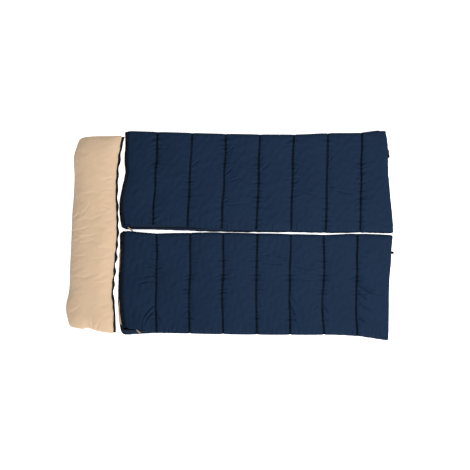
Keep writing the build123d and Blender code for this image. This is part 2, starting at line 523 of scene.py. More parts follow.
def upsample(grid: Array, times: int = 2) -> Array:
    """A smooth grid with more rows and columns through the same points.

    Args:
        grid: Rows by columns by components.
        times: How many steps replace each one.

    Returns:
        The finer grid.
    """
    for axis in (0, 1):
        turned = np.moveaxis(grid, axis, 0)
        count = len(turned)
        u = np.linspace(0, count - 1, (count - 1) * times + 1)
        i = np.minimum(u.astype(int), count - 2)
        f = (u - i).reshape((-1,) + (1,) * (turned.ndim - 1))
        before = turned[np.maximum(i - 1, 0)]
        after = turned[np.minimum(i + 2, count - 1)]
        first, second = turned[i], turned[i + 1]
        fine = first + 0.5 * f * (
            second - before + f * (
                2 * before - 5 * first + 4 * second - after
                + f * (3 * (first - second) + after - before)
            )
        )
        grid = np.moveaxis(fine, 0, axis)
    return grid


def lowest_near(grid: Array, reach: int) -> Array:
    """The lowest value within some steps of each place in a grid."""
    for axis in (0, 1):
        for _ in range(reach):
            turned = np.moveaxis(grid, axis, 0)
            padded = np.concatenate([turned[:1], turned, turned[-1:]])
            turned = np.minimum(np.minimum(padded[:-2], padded[1:-1]), padded[2:])
            grid = np.moveaxis(turned, 0, axis)
    return grid


def grid_faces(rows: int, columns: int, flip: bool = False, first: int = 0) -> list:
    """Quads over a grid of points stored row by row.

    Args:
        rows: Points along the first index.
        columns: Points along the second index.
        flip: Turns the faces over.
        first: The first point's number.

    Returns:
        The faces' corner numbers.
    """
    i, j = np.meshgrid(np.arange(rows - 1), np.arange(columns - 1), indexing="ij")
    a = first + i * columns + j
    quads = np.stack([a, a + columns, a + columns + 1, a + 1], -1).reshape(-1, 4)
    return (quads[:, ::-1] if flip else quads).tolist()


def slab(upper: Array, lower: Array, flip: bool = True) -> tuple:
    """A closed solid between two grids of points that match, joined round their rim.

    Args:
        upper: The upper points, rows by columns.
        lower: The lower points.
        flip: Turns the grids' faces over.

    Returns:
        The points and the faces.
    """
    rows, columns = upper.shape[:2]
    under = rows * columns
    loop = list(range(columns))
    loop += [i * columns + columns - 1 for i in range(1, rows)]
    loop += [(rows - 1) * columns + j for j in range(columns - 2, -1, -1)]
    loop += [i * columns for i in range(rows - 2, 0, -1)]
    faces = grid_faces(rows, columns, flip) + grid_faces(rows, columns, not flip, under)
    faces += [(a, b, b + under, a + under) for a, b in zip(loop, loop[1:] + loop[:1])]
    return np.concatenate([upper.reshape(-1, 3), lower.reshape(-1, 3)]), faces


def make_object(name: str, points: Array, faces: list, finish: Finish,
                maps: Optional[Array] = None) -> bpy.types.Object:
    """A smooth-shaded mesh object with a finish.

    Args:
        name: The piece's name.
        points: Its vertices in metres.
        faces: Corner numbers of each face.
        finish: What it's made of.
        maps: The quilt map's two values at each vertex.

    Returns:
        The object, linked to the scene.
    """
    mesh = bpy.data.meshes.new(name)
    mesh.from_pydata(np.asarray(points).reshape(-1, 3).tolist(), [], faces)
    mesh.materials.append(finish.material)
    mesh.shade_smooth()
    if maps is not None:
        layer = mesh.uv_layers.new(name="quilt")
        corners = np.zeros(len(mesh.loops), np.int32)
        mesh.loops.foreach_get("vertex_index", corners)
        layer.data.foreach_set("uv", maps.reshape(-1, 2)[corners].astype(np.float32).ravel())
    made = bpy.data.objects.new(name, mesh)
    bpy.context.scene.collection.objects.link(made)
    return made


@dataclass
class Blower:
    """Blows a held sheet up with Blender's cloth, so that it billows and puckers."""

    pressure: float = 3.0
    growth: float = 0.05
    frames: int = 20
    bending: float = 0.4
    most: float = 40 * MM

    def blow(self, name: str, grid: Array, held: Array) -> Array:
        """Runs the cloth.

        Args:
            name: A name for the working mesh.
            grid: The sheet's points before it's blown up, rows by columns.
            held: How firmly each point is pinned, from 0 to 1.

        Returns:
            The points after it, no further than the cap from where they were.
        """
        flat = grid.reshape(-1, 3)
        mesh = bpy.data.meshes.new(name)
        mesh.from_pydata(flat.tolist(), [], grid_faces(*grid.shape[:2], True))
        piece = bpy.data.objects.new(name, mesh)
        bpy.context.scene.collection.objects.link(piece)
        pins = piece.vertex_groups.new(name="pins")
        weights = held.reshape(-1)
        for level in np.unique(weights):
            if level > 0:
                pins.add(np.flatnonzero(weights == level).tolist(), float(level), "REPLACE")
        cloth = piece.modifiers.new("blow", "CLOTH")
        settings = cloth.settings
        settings.quality = 6
        settings.mass = 0.25
        settings.tension_stiffness = 40
        settings.compression_stiffness = 40
        settings.shear_stiffness = 12
        settings.bending_stiffness = self.bending
        settings.air_damping = 2.0
        settings.use_pressure = True
        settings.uniform_pressure_force = self.pressure
        settings.shrink_min = -self.growth
        settings.vertex_group_mass = "pins"
        settings.effector_weights.gravity = 0.0
        cloth.collision_settings.use_collision = False
        cloth.point_cache.frame_start = 1
        cloth.point_cache.frame_end = self.frames
        for number in range(1, self.frames + 1):
            bpy.context.scene.frame_set(number)
        graph = bpy.context.evaluated_depsgraph_get()
        blown = piece.evaluated_get(graph).to_mesh()
        moved = np.zeros(len(blown.vertices) * 3)
        blown.vertices.foreach_get("co", moved)
        piece.evaluated_get(graph).to_mesh_clear()
        bpy.data.objects.remove(piece)
        bpy.context.scene.frame_set(1)
        shift = moved.reshape(-1, 3) - flat
        size = np.linalg.norm(shift, axis=1, keepdims=True)
        shift *= np.minimum(1.0, self.most / np.maximum(size, 1e-9))
        return (flat + shift).reshape(grid.shape)


def round_corners(x: Array, y: Array, low: tuple, high: tuple, near: float, far: float) -> tuple:
    """Bends a rectangle's square corners round.

    Args:
        x: Places along X.
        y: Places along Y.
        low: The rectangle's lowest X and Y.
        high: Its highest X and Y.
        near: The radius of the two corners at low X.
        far: The radius of the two corners at high X.

    Returns:
        The moved places.
    """
    radius = np.where(x < (low[0] + high[0]) / 2, near, far)
    x_in = np.clip(x, low[0] + radius, high[0] - radius)
    y_in = np.clip(y, low[1] + radius, high[1] - radius)
    a, b = (x - x_in) / radius, (y - y_in) / radius
    return (
        x_in + a * radius * np.sqrt(1.0 - b * b / 2.0),
        y_in + b * radius * np.sqrt(1.0 - a * a / 2.0),
    )


@dataclass
class Outline:
    """A rectangle whose four edges wander from straight by named amounts in millimetres.

    Each edge's amounts are evenly spaced along it, towards +X or +Y, and + moves the edge
    towards +X or +Y.
    """

    low: tuple
    high: tuple
    head: Sequence[float]
    foot: Sequence[float]
    edge: Sequence[float]
    fold: Sequence[float]
    radius: float = 36 * MM
    end_share: float = 0.13
    foot_radius: float = 36 * MM

    def warp(self, x: Array, y: Array) -> tuple:
        """Moves places in the straight rectangle to the wandering one."""
        u = (x - self.low[0]) / (self.high[0] - self.low[0])
        v = (y - self.low[1]) / (self.high[1] - self.low[1])
        along_head = along_edge(self.head, v)
        along_foot = along_edge(self.foot, v)
        along_low = along_edge(self.edge, u)
        along_high = along_edge(self.fold, u)
        u, v = np.clip(u, 0, 1), np.clip(v, 0, 1)
        near_head, near_foot = (ease(1 - end / self.end_share) for end in (u, 1 - u))
        return (
            x + MM * (along_head * near_head + along_foot * near_foot),
            y + MM * (along_low * (1 - v) + along_high * v),
        )

    def rounded(self, x: Array, y: Array, inset: float = 0.0) -> tuple:
        """Rounds the corners of a rectangle drawn in by an inset, then lets it wander."""
        low = (self.low[0] + inset, self.low[1] + inset)
        high = (self.high[0] - inset, self.high[1] - inset)
        near, far = (max(r - inset, 4 * MM) for r in (self.radius, self.foot_radius))
        return self.warp(*round_corners(x, y, low, high, near, far))

    def ring(self, step: float) -> tuple:
        """A walk round the straight rectangle with round corners, from the fold's head corner.

        Args:
            step: The walk's spacing in metres.

        Returns:
            The places and the inward directions: x, y, inward x and inward y.
        """
        r, s = self.radius, self.foot_radius
        (x0, y0), (x1, y1) = self.low, self.high
        legs = (
            ((x0, y1 - r), (x0, y0 + r), (1, 0), r),
            ((x0 + r, y0), (x1 - s, y0), (0, 1), s),
            ((x1, y0 + s), (x1, y1 - s), (-1, 0), s),
            ((x1 - s, y1), (x0 + r, y1), (0, -1), r),
        )
        centres = ((x0 + r, y0 + r), (x1 - s, y0 + s), (x1 - s, y1 - s), (x0 + r, y1 - r))
        xs, ys, nx, ny = [], [], [], []
        for k, ((ax, ay), (bx, by), (ix, iy), bend) in enumerate(legs):
            count = int(math.hypot(bx - ax, by - ay) / step)
            share = np.arange(count) / count
            xs.append(ax + (bx - ax) * share)
            ys.append(ay + (by - ay) * share)
            nx.append(np.full(count, float(ix)))
            ny.append(np.full(count, float(iy)))
            angles = math.pi * (1 + k / 2) + np.arange(10) / 10 * math.pi / 2
            xs.append(centres[k][0] + bend * np.cos(angles))
            ys.append(centres[k][1] + bend * np.sin(angles))
            nx.append(-np.cos(angles))
            ny.append(-np.sin(angles))
        return tuple(np.concatenate(each) for each in (xs, ys, nx, ny))


@dataclass
class Seams:
    """The sewn lines across a bag, each from its low-Y end to its high-Y end."""

    low_ends: tuple
    high_ends: tuple
    low_y: float
    high_y: float
    wobble: float = 0.0
    seed: int = 1

    def line(self, k: int, y: Array) -> Array:
        """Where seam k is at each Y."""
        v = (y - self.low_y) / (self.high_y - self.low_y)
        start, step = self.low_ends
        high_start, high_step = self.high_ends
        straight = (start + step * k) * (1 - v) + (high_start + high_step * k) * v
        dip = self.wobble * np.exp(-((v - 0.33) / 0.2) ** 2)
        uneven = 2.5 * MM * waves(self.seed + k, y, y * 0 + k, 0.3, 4)
        return straight + dip + uneven

    def spread(self, c: Array, y: Array, head: Array, foot: Array) -> Array:
        """X of column c, where 0 is the head, 1 to 7 are the seams and 8 is the foot."""
        stations = [head] + [self.line(k, y) for k in range(7)] + [foot]
        stack = np.stack([np.broadcast_to(s, y.shape) for s in stations])
        i = np.clip(c.astype(int), 0, 7)
        share = c - i
        before = np.take_along_axis(stack, i[None], 0)[0]
        after = np.take_along_axis(stack, i[None] + 1, 0)[0]
        return before * (1 - share) + after * share

    def nearest(self, x: Array, y: Array) -> Array:
        """Signed distance in metres from the nearest seam."""
        gaps = np.stack([x - self.line(k, y) for k in range(7)])
        pick = np.abs(gaps).argmin(0)
        return np.take_along_axis(gaps, pick[None], 0)[0]

    def puff(self, x: Array, y: Array) -> Array:
        """0 on a seam, rising to 1 in the middle of a channel."""
        away = np.minimum(np.abs(self.nearest(x, y)) / (120 * MM), 1.0)
        return np.sqrt(1.0 - (1.0 - away) ** 2)


@dataclass(frozen=True)
class Crease:
    """One pressed-in line in a quilt's shell.

    It starts and ends so many millimetres past a seam along X, and so many in from the fold.
    """

    seam: int
    start: tuple
    end: tuple
    depth: float = 2.0
    spread: float = 4.5
    strength: ClassVar[float] = 2.6
    ridge_share: ClassVar[float] = 0.45

    def press(self, past: Array, inward: Array) -> Array:
        """How deep the crease is at each place.

        Args:
            past: Metres past this crease's seam.
            inward: Metres in from the fold.

        Returns:
            Depths in metres.
        """
        a, b = np.array(self.start) * MM, np.array(self.end) * MM
        line = b - a
        length = np.hypot(*line)
        ahead = line / length
        run = ((past - a[0]) * ahead[0] + (inward - a[1]) * ahead[1]) / length
        aside = (past - a[0]) * -ahead[1] + (inward - a[1]) * ahead[0]
        bow = 0.06 * length * np.sin(np.clip(run, 0, 1) * math.pi)
        taper = ease(run * 6 + 0.6) * ease((1 - run) * 2.2)
        groove = np.exp(-((aside - bow) / (self.spread * MM)) ** 2)
        ridge = self.ridge_share * np.exp(-((aside - bow + 11 * MM) / (8 * MM)) ** 2)
        return self.depth * self.strength * MM * taper * (groove - ridge)


def profile(points: Sequence[tuple], count: int) -> tuple:
    """Evenly spaced places along a section.

    Args:
        points: The section's corners as (distance, height).
        count: How many places.

    Returns:
        The distances and the heights.
    """
    line = np.asarray(points, float)
    length = np.concatenate([[0], np.cumsum(np.hypot(*np.diff(line, axis=0).T))])
    even = np.linspace(0, length[-1], count)
    return np.interp(even, length, line[:, 0]), np.interp(even, length, line[:, 1])


def quarter(start: tuple, end: tuple, upright_first: bool, count: int = 14) -> list:
    """A quarter of an ellipse from start to end."""
    angles = np.linspace(0, math.pi / 2, count)
    rising, levelling = np.sin(angles), 1 - np.cos(angles)
    across, up = (levelling, rising) if upright_first else (rising, levelling)
    return [
        (start[0] + (end[0] - start[0]) * a, start[1] + (end[1] - start[1]) * u)
        for a, u in zip(across, up)
    ]


# ---------------------------------------------------------------------------
# The quilts
# ---------------------------------------------------------------------------

@dataclass
class Levels:
    """Heights in a bag, in metres, taken from its CAD pieces."""

    floor: float
    pocket_low: float
    pocket_high: float
    top: float

    @property
    def middle(self) -> float:
        """Half way up the bag."""
        return (self.pocket_low + self.pocket_high) / 2


@dataclass
class TopQuilt:
    """The upper quilt: a billowing shell, its batting, a tan lining and a hem at the head."""

    side: str
    outline: Outline
    seams: Seams
    levels: Levels
    seed: int
    channels: int = 8
    columns: int = 24
    rows: int = 67
    fold_reach: float = 34 * MM
    rim_reach: float = 46 * MM
    side_overhang: float = 0.0
    foot_overhang: float = 44 * MM
    hem_showing: float = 24 * MM
    creases: Sequence["Crease"] = ()
    overhang_start: float = 0.55
    overhang_run: float = 0.3
    finer: int = 3

    def _section(self) -> tuple:
        """The quilt's section across: Y from the rim, and how full it is there."""
        width = self.outline.high[1] - self.outline.low[1]
        out = self.side_overhang
        points = quarter((0.0, 0.0), (-out, 13 * MM), False, 6) if out else [(0.0, 0.0)]
        start = points[-1]
        points += quarter(start, (start[0] + self.rim_reach, 34 * MM), True)
        points += quarter((width - self.fold_reach, 34 * MM), (width, 0.0), False)
        across, rise = profile(points, self.rows)
        return across, rise / (34 * MM)

    def _foot_section(self, length: float) -> tuple:
        """The last channel's section along: its share of the way to the rim, and its height."""
        out = self.foot_overhang
        points = quarter((0.0, 0.0), (length / 2, 34 * MM), True)
        points += quarter((length + out - 40 * MM, 34 * MM), (length + out, 13 * MM), False)
        points += quarter((length + out, 13 * MM), (length, 0.0), True, 6)
        along, rise = profile(points, self.columns + 1)
        return along / length, rise / (34 * MM)

    def _sheet(self) -> tuple:
        """The shell before it's blown up, and how far each point is along the channels."""
        across, full = self._section()
        count = self.channels * self.columns + 1
        c = np.linspace(0, self.channels, count)
        share = c - np.floor(c)
        dome = np.sqrt(np.maximum(0.0, 1.0 - (2 * share - 1) ** 2))
        foot_share, foot_rise = self._foot_section(200 * MM)
        c[-self.columns - 1:] = self.channels - 1 + foot_share
        dome[-self.columns - 1:] = foot_rise
        cc, yy = np.meshgrid(c, self.outline.low[1] + across)
        dome = np.broadcast_to(dome, cc.shape)
        fullness = np.broadcast_to(full[:, None], cc.shape)
        beyond = np.maximum(cc - self.channels, 0.0)
        outward = self._clear_of_slider(cc)
        cc_held = np.where(beyond > 0, self.channels + beyond * ease(fullness * 2.5), cc)
        hem_low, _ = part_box(f"{self.side}_top_head_hem")
        start = hem_low.x + self.hem_showing
        xx = self.seams.spread(
            cc_held, yy, np.full(yy.shape, start), np.full(yy.shape, self.outline.high[0])
        )
        outside = np.minimum(yy - self.outline.low[1], 0.0)
        at_foot = np.where(cc > self.channels - 0.5, ease(dome * 2.5), 1 - 0.12 * (1 - dome) ** 2)
        yy = yy - outside + outside * at_foot * outward
        px, py = np.minimum(xx, self.outline.high[0]), np.maximum(yy, self.outline.low[1])
        low = (start, self.outline.low[1])
        rx, ry = round_corners(
            px, py, low, self.outline.high, self.outline.radius, self.outline.foot_radius
        )
        px, py = rx + xx - px, ry + yy - py
        beside_fold = np.clip((across[:, None] - across.max()) / (60 * MM) + 1.0, 0, 1)
        beside_rim = np.clip(1.0 - across[:, None] / (50 * MM), 0, 1)
        scallop = 5 * MM * (1 - dome) ** 2 * (cc < self.channels - 0.5)
        py = py - scallop * beside_fold + scallop * 0.6 * beside_rim * fullness
        px, py = self.outline.warp(px, py)
        rim = self.levels.pocket_high + 3 * MM
        valley = 5 * MM + 1.5 * MM * waves(self.seed, px, py, 0.22)
        base = rim * (1 - beside_fold) + self.levels.pocket_high * beside_fold
        crest = self.levels.top - base - 14 * MM
        uneven = 1.0 + 0.08 * waves(self.seed + 5, px, py, 0.35)
        z = base + fullness * (valley + (crest - valley) * dome * uneven)
        z[:, -1] = base[:, 0]
        z += 1.2 * MM * waves(self.seed + 9, px, py, 0.06) * fullness * dome
        nominal = np.broadcast_to(np.linspace(0, self.channels, count), cc.shape)
        return np.stack([px, py, z], -1), nominal

    def _clear_of_slider(self, cc: Array) -> Array:
        """0 at the head, where the slider and its pull lie, rising to 1 further down."""
        return ease((cc - self.overhang_start) / self.overhang_run)

    def _pins(self, cc: Array) -> Array:
        """Holds the boundary and every seam."""
        held = np.zeros(cc.shape)
        held[0], held[-1], held[:, 0], held[:, -1] = 1, 1, 1, 1
        held[:, :: self.columns] = 1
        return held

    def build(self) -> None:
        """Makes the quilt's pieces and puts them on their body."""
        body = f"{self.side}_top"
        grid, cc = self._sheet()
        blower = Blower(pressure=2.0, growth=0.04, frames=22)
        blown = blower.blow(f"{self.side}_top_sheet", grid, self._pins(cc))
        limit = self.levels.top + 4 * MM
        high = blown[..., 2]
        soft = limit - 12 * MM
        over = np.maximum(high - soft, 0)
        blown[..., 2] = np.minimum(high, soft) + 12 * MM * np.tanh(over / (12 * MM))
        blown[..., 2] = np.maximum(blown[..., 2], self.levels.pocket_high - 0.5 * MM)
        fine = upsample(blown, self.finer)
        rows, columns = fine.shape[:2]
        away = np.abs(self.seams.nearest(fine[..., 0], fine[..., 1]))
        fine = self._pucker(fine, away)
        fine[..., 2] = np.maximum(fine[..., 2], self.levels.pocket_high - 0.5 * MM)
        maps = np.stack([away, fine[..., 1]], -1)
        shell = make_object(
            f"{self.side}_top_cloth", fine, grid_faces(rows, columns, True), Finish.SHELL, maps
        )
        under = fine[:: self.finer, :: self.finer].copy()
        under[..., 2] = lowest_near(fine[..., 2], self.finer)[:: self.finer, :: self.finer]
        lining = self._lining(under, cc)
        filling = self._filling(under, lining)
        hem = self._hem(fine)
        liner = make_object(
            f"{self.side}_top_liner", lining, grid_faces(*lining.shape[:2]), Finish.LINING,
            np.stack([self.seams.nearest(lining[..., 0], lining[..., 1]), lining[..., 1]], -1),
        )
        for piece, node in (
            (shell, "shell"), (liner, "lining"), (filling, "filling"), (hem, "head_hem")
        ):
            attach(piece, body)
            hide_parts(f"{self.side}_top_{node}")
        log.info("%s: shell, batting, lining and hem on %s", f"{self.side} top quilt", body)

    def _pucker(self, fine: Array, away: Array) -> Array:
        """Small gathers that run out from the seams, strong in some places and faint in others."""
        x, y = fine[..., 0], fine[..., 1]
        patch = ease(0.5 + 0.6 * waves(self.seed + 50, x, y, 0.30))
        slant = 0.35 * waves(self.seed + 52, x, y, 0.5)
        gathers = waves(self.seed + 51, x * 0.0, y + away * slant, 0.026, 10)
        fade = np.exp(-away / (24 * MM)) * (1 - np.exp(-away / (4 * MM)))
        rows = np.arange(len(fine))[:, None]
        edge = np.clip(np.minimum(rows, rows[::-1]) / (4 * self.finer), 0, 1)
        beside_seam = 1 - np.exp(-away / (6 * MM))
        fine = fine.copy()
        fine[..., 2] += GATHER_HEIGHT * gathers * fade * (0.15 + patch) * edge
        rim, inward = y - y.min(0, keepdims=True), y.max(0, keepdims=True) - y
        ruffle = waves(self.seed + 53, x, y * 0.0, 0.024, 10)
        ruffled = sum(
            share * np.exp(-gap / (24 * MM)) * (1 - np.exp(-gap / (5 * MM)))
            for gap, share in ((rim, 3.6), (inward, 1.8))
        )
        fine[..., 2] += MM * ruffle * ruffled * edge
        for crease in self.creases:
            past = x - self.seams.line(crease.seam, y)
            fine[..., 2] -= crease.press(past, inward) * edge * beside_seam
        return fine

    def _lining(self, blown: Array, cc: Array) -> Array:
        """The tan underside, drawn up at the seams."""
        x = np.minimum(blown[..., 0], blown[:, -1:, 0] - 6 * MM)
        y = np.maximum(blown[..., 1], blown[:1, :, 1] + 6 * MM)
        share = cc - np.floor(cc)
        dome = np.sqrt(np.maximum(0.0, 1.0 - (2 * share - 1) ** 2))
        row = np.linspace(0, 1, len(x))[:, None]
        inner = np.clip(np.minimum(row, 1 - row) * 14, 0, 1)
        low = self.levels.pocket_high - 3.5 * MM
        z = self.levels.pocket_high + inner * (4 * MM * (1 - dome) - 3 * MM * dome)
        z = np.minimum(z, blown[..., 2] - 2.2 * MM)
        z += 0.6 * MM * waves(self.seed + 20, x, y, 0.09) * inner * dome
        return np.stack([x, y, np.maximum(z, low)], -1)

    def _filling(self, blown: Array, lining: Array) -> bpy.types.Object:
        """The batting between the shell and the lining."""
        upper, lower = lining.copy(), lining.copy()
        ceiling, ground = lowest_near(blown[..., 2], 3), -lowest_near(-lining[..., 2], 3)
        gap = np.maximum(ceiling - ground - 1 * MM, 0.0)
        middle = np.maximum((ceiling + ground) / 2, lining[..., 2] + 1.0 * MM)
        middle = np.minimum(middle, (lining[..., 2] + blown[..., 2]) / 2 + gap)
        upper[..., 2] = middle + gap * 0.28
        lower[..., 2] = middle - gap * 0.32
        return make_object(f"{self.side}_top_batting", *slab(upper, lower), Finish.FIBRE)

    def _hem(self, fine: Array) -> bpy.types.Object:
        """The flat hem band that closes the head end, sewn down along the quilt's first line."""
        start = fine[:, 0]
        low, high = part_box(f"{self.side}_top_head_hem")
        count = 15
        share = np.linspace(0, 1, count)[None, :]
        y = start[:, 1][:, None] + 0 * share
        pucker = 1.3 * MM * waves(self.seed + 30, y, y * 0, 0.05, 8)
        beyond = self.hem_showing + pucker
        under_shell = high.x - low.x - self.hem_showing
        corner = np.clip(np.minimum(y - y.min(), y.max() - y) / (14 * MM), 0, 1)
        x = start[:, 0][:, None] + under_shell * (1 - share) - share * beyond
        x += share * (1 - np.sqrt(1 - (1 - corner) ** 2)) * 12 * MM
        turned = under_shell / (high.x - low.x)
        out = np.clip((share - turned) / (1 - turned), 0, 1)
        bulge = np.sqrt(np.maximum(0, 1 - (2 * out - 1) ** 2)) * (share > turned)
        floor = self.levels.pocket_high - 1 * MM
        seam = start[:, 2][:, None] - 1 * MM
        top = seam * (1 - out) + (floor + 3 * MM) * out + bulge * (8 * MM + pucker * 2)
        base = floor + 0 * top + (1 - bulge) * 1.5 * MM
        top[:, -1], base[:, -1] = floor + 3 * MM, floor + 3 * MM
        upper = np.stack([x, y, np.maximum(top, base)], -1)
        lower = np.stack([x, y, base], -1)
        return make_object(f"{self.side}_top_hem_band", *slab(upper, lower, False), Finish.HEM)


@dataclass
class BottomQuilt:
    """The lower quilt: shell under it and round its edge, batting, lining and head hem."""

    side: str
    outline: Outline
    seams: Seams
    levels: Levels
    seed: int
    lip: float = 30 * MM
    fold_reach: float = 34 * MM
    lining_showing: Sequence[float] = (-4,)

    def _pinch(self, x: Array, y: Array) -> Array:
        """1 on a seam and 0 away from it."""
        return 1.0 - self.seams.puff(x, y)

    def _rim(self) -> tuple:
        """The shell's rounded edge, as points and faces: round the bag, from top to bottom."""
        x, y, nx, ny = self.outline.ring(12 * MM)
        top, mid = self.levels.pocket_low, self.levels.pocket_low * 0.47
        edge = quarter((self.lip, top - 0.6 * MM), (0, mid), False)
        edge += quarter((0, mid), (self.lip, 0.4 * MM), True)
        fold = [(0.3 * MM, top)] + quarter((0.3 * MM, top), (self.fold_reach, 0.4 * MM), True)
        edge_d, edge_z = profile(edge, 17)
        fold_d, fold_z = profile(fold, 17)
        head = [(self.lip, top - 14 * MM), (4 * MM, top - 12 * MM), (0, top - 13 * MM)]
        head += quarter((0, top - 13 * MM), (self.lip * 1.5, 0.4 * MM), True)
        head_d, head_z = profile(head, 17)
        x0, y1 = self.outline.low[0], self.outline.high[1]
        at_fold = ease((y - (y1 - 40 * MM)) / (32 * MM))
        at_head = ease(((x0 + 26 * MM) - x) / (22 * MM))
        at_fold = at_fold * (1 - at_head)
        at_edge = 1 - at_fold - at_head
        d = (at_edge[:, None] * edge_d + at_fold[:, None] * fold_d + at_head[:, None] * head_d)
        z = (at_edge[:, None] * edge_z + at_fold[:, None] * fold_z + at_head[:, None] * head_z)
        along = (np.abs(ny) > 0.7)
        pinch = self._pinch(x, y) ** 2 * along
        d = d + 3 * MM * pinch[:, None] * np.cos(d / self.lip * math.pi / 2)
        centre = mid + 2 * MM
        z = centre + (z - centre) * (1 - 0.45 * pinch[:, None] * (1 - at_fold[:, None]))
        px = x[:, None] + nx[:, None] * d
        py = y[:, None] + ny[:, None] * d
        px, py = self.outline.warp(px, py)
        puckers = waves(self.seed + 3, px, py, 0.05) * 0.9 * MM
        bare = np.clip(np.minimum(np.arange(17), np.arange(17)[::-1]) / 4, 0, 1)
        px += -nx[:, None] * puckers * bare
        py += -ny[:, None] * puckers * bare
        grid = np.stack([px, py, np.maximum(z, 0.1 * MM)], -1)
        grid = np.concatenate([grid, grid[:1]])
        return grid, grid_faces(*grid.shape[:2], True)

    def _panel(self, inset: float, columns: int, rows: int, hem: float = 0.0) -> tuple:
        """A grid inside the outline, drawn in all round.

        Args:
            inset: How far in from the outline.
            columns: Steps along X.
            rows: Steps along Y.
            hem: How much further in at the head.

        Returns:
            X, Y, how far in from the border each point is, and the pinch at the seams.
        """
        (x0, y0), (x1, y1) = self.outline.low, self.outline.high
        xs = np.linspace(x0 + inset + hem, x1 - inset, columns)
        ys = np.linspace(y0 + inset, y1 - inset, rows)
        xx, yy = np.meshgrid(xs, ys)
        border = np.minimum(
            np.minimum(xx - xs[0], xs[-1] - xx), np.minimum(yy - ys[0], ys[-1] - yy)
        )
        px, py = self.outline.rounded(xx, yy, inset)
        return px, py, border, self._pinch(px, py)

    def build(self) -> None:
        """Makes the quilt's pieces and puts them on their body."""
        body = f"{self.side}_base"
        rim, rim_faces = self._rim()
        px, py, border, pinch = self._panel(self.lip - 2 * MM, 385, 90)
        inner = ease(border / (40 * MM))
        z = 0.4 * MM + inner * (12 * MM * pinch ** 2)
        z += np.maximum(0, waves(self.seed, px, py, 0.07)) * 1.0 * MM * inner
        under = np.stack([px, py, z], -1)
        points = np.concatenate([rim.reshape(-1, 3), under.reshape(-1, 3)])
        faces = rim_faces + grid_faces(*under.shape[:2], False, len(rim.reshape(-1, 3)))
        away = np.abs(self.seams.nearest(points[:, 0], points[:, 1]))
        shell = make_object(
            f"{self.side}_bottom_cloth", points, faces, Finish.SHELL,
            np.stack([away, points[:, 1]], -1),
        )
        (x0, y0), (x1, y1) = self.outline.low, self.outline.high
        low = (x0 + 10 * MM, y0 + 30 * MM)
        high = (x1 - 32 * MM, y1 - 12 * MM)
        xx, yy = np.meshgrid(
            np.linspace(low[0], high[0], 385), np.linspace(low[1], high[1], 110)
        )
        border = np.minimum(high[0] - xx, np.minimum(yy - low[1], high[1] - yy))
        px, py = self.outline.warp(*round_corners(xx, yy, low, high, 40 * MM, 16 * MM))
        shown = along_edge(self.lining_showing, (yy - y0) / (y1 - y0)) * MM
        px = px - shown * np.clip(1 - (xx - low[0]) / (60 * MM), 0, 1)
        by_slider = 1 - ease((xx - x0 - 70 * MM) / (90 * MM))
        py = py + 26 * MM * by_slider * np.clip(1 - (yy - low[1]) / (90 * MM), 0, 1)
        pinch = self._pinch(px, py)
        inner = ease(border / (30 * MM)) * ease((xx - x0) / (50 * MM))
        top = self.levels.pocket_low
        z = top - 0.2 * MM + inner * (3.6 * MM * (1 - pinch) - 9 * MM * pinch ** 2)
        z += waves(self.seed + 12, px, py, 0.10) * 0.7 * MM * inner
        z -= np.clip(1 - border / (14 * MM), 0, 1) * 8 * MM
        roll = np.clip(1 - (xx - low[0]) / (10 * MM), 0, 1)
        z -= 10 * MM * (1 - np.sqrt(1 - roll ** 2))
        face = np.stack([px, py, z], -1)
        liner = make_object(
            f"{self.side}_bottom_liner", face, grid_faces(*face.shape[:2], True), Finish.LINING,
            np.stack([self.seams.nearest(px, py), py], -1),
        )
        batting = self._filling()
        hem = self._hem()
        for piece, node in (
            (shell, "shell"), (liner, "lining"), (batting, "filling"), (hem, "head_hem")
        ):
            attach(piece, body)
            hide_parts(f"{self.side}_bottom_{node}")
        log.info("%s: shell, batting, lining and hem on %s", f"{self.side} bottom quilt", body)

    def _filling(self) -> bpy.types.Object:
        """The batting inside the lower quilt."""
        px, py, border, pinch = self._panel(36 * MM, 193, 56, hem=110 * MM)
        inner = ease(border / (26 * MM))
        middle = self.levels.pocket_low * 0.5
        half = (4 * MM + inner * (self.levels.pocket_low / 2 - 8 * MM)) * (1 - 0.75 * pinch ** 2)
        upper = np.stack([px, py, middle + half], -1)
        lower = np.stack([px, py, middle - half], -1)
        return make_object(f"{self.side}_bottom_batting", *slab(upper, lower), Finish.FIBRE)

    def _hem(self) -> bpy.types.Object:
        """The hem band under the head end."""
        (x0, y0), (_, y1) = self.outline.low, self.outline.high
        _, hem_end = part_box(f"{self.side}_bottom_head_hem")
        xs = np.linspace(x0 + 3 * MM, hem_end.x, 9)
        ys = np.linspace(y0 + 30 * MM, y1 - 30 * MM, 120)
        xx, yy = np.meshgrid(xs, ys)
        px, py = self.outline.warp(xx, yy)
        share = (xx - xs[0]) / (xs[-1] - xs[0])
        top = self.levels.pocket_low
        slope = top - 14 * MM - (top - 15 * MM) * ease(share)
        pucker = waves(self.seed + 40, py, py * 0, 0.05, 8) * 0.6 * MM
        upper = np.stack([px, py, slope + 3 * MM + pucker], -1)
        lower = np.stack([px, py, np.maximum(slope - 2 * MM + pucker, 0.1 * MM)], -1)
        return make_object(f"{self.side}_bottom_hem_band", *slab(upper, lower), Finish.HEM)


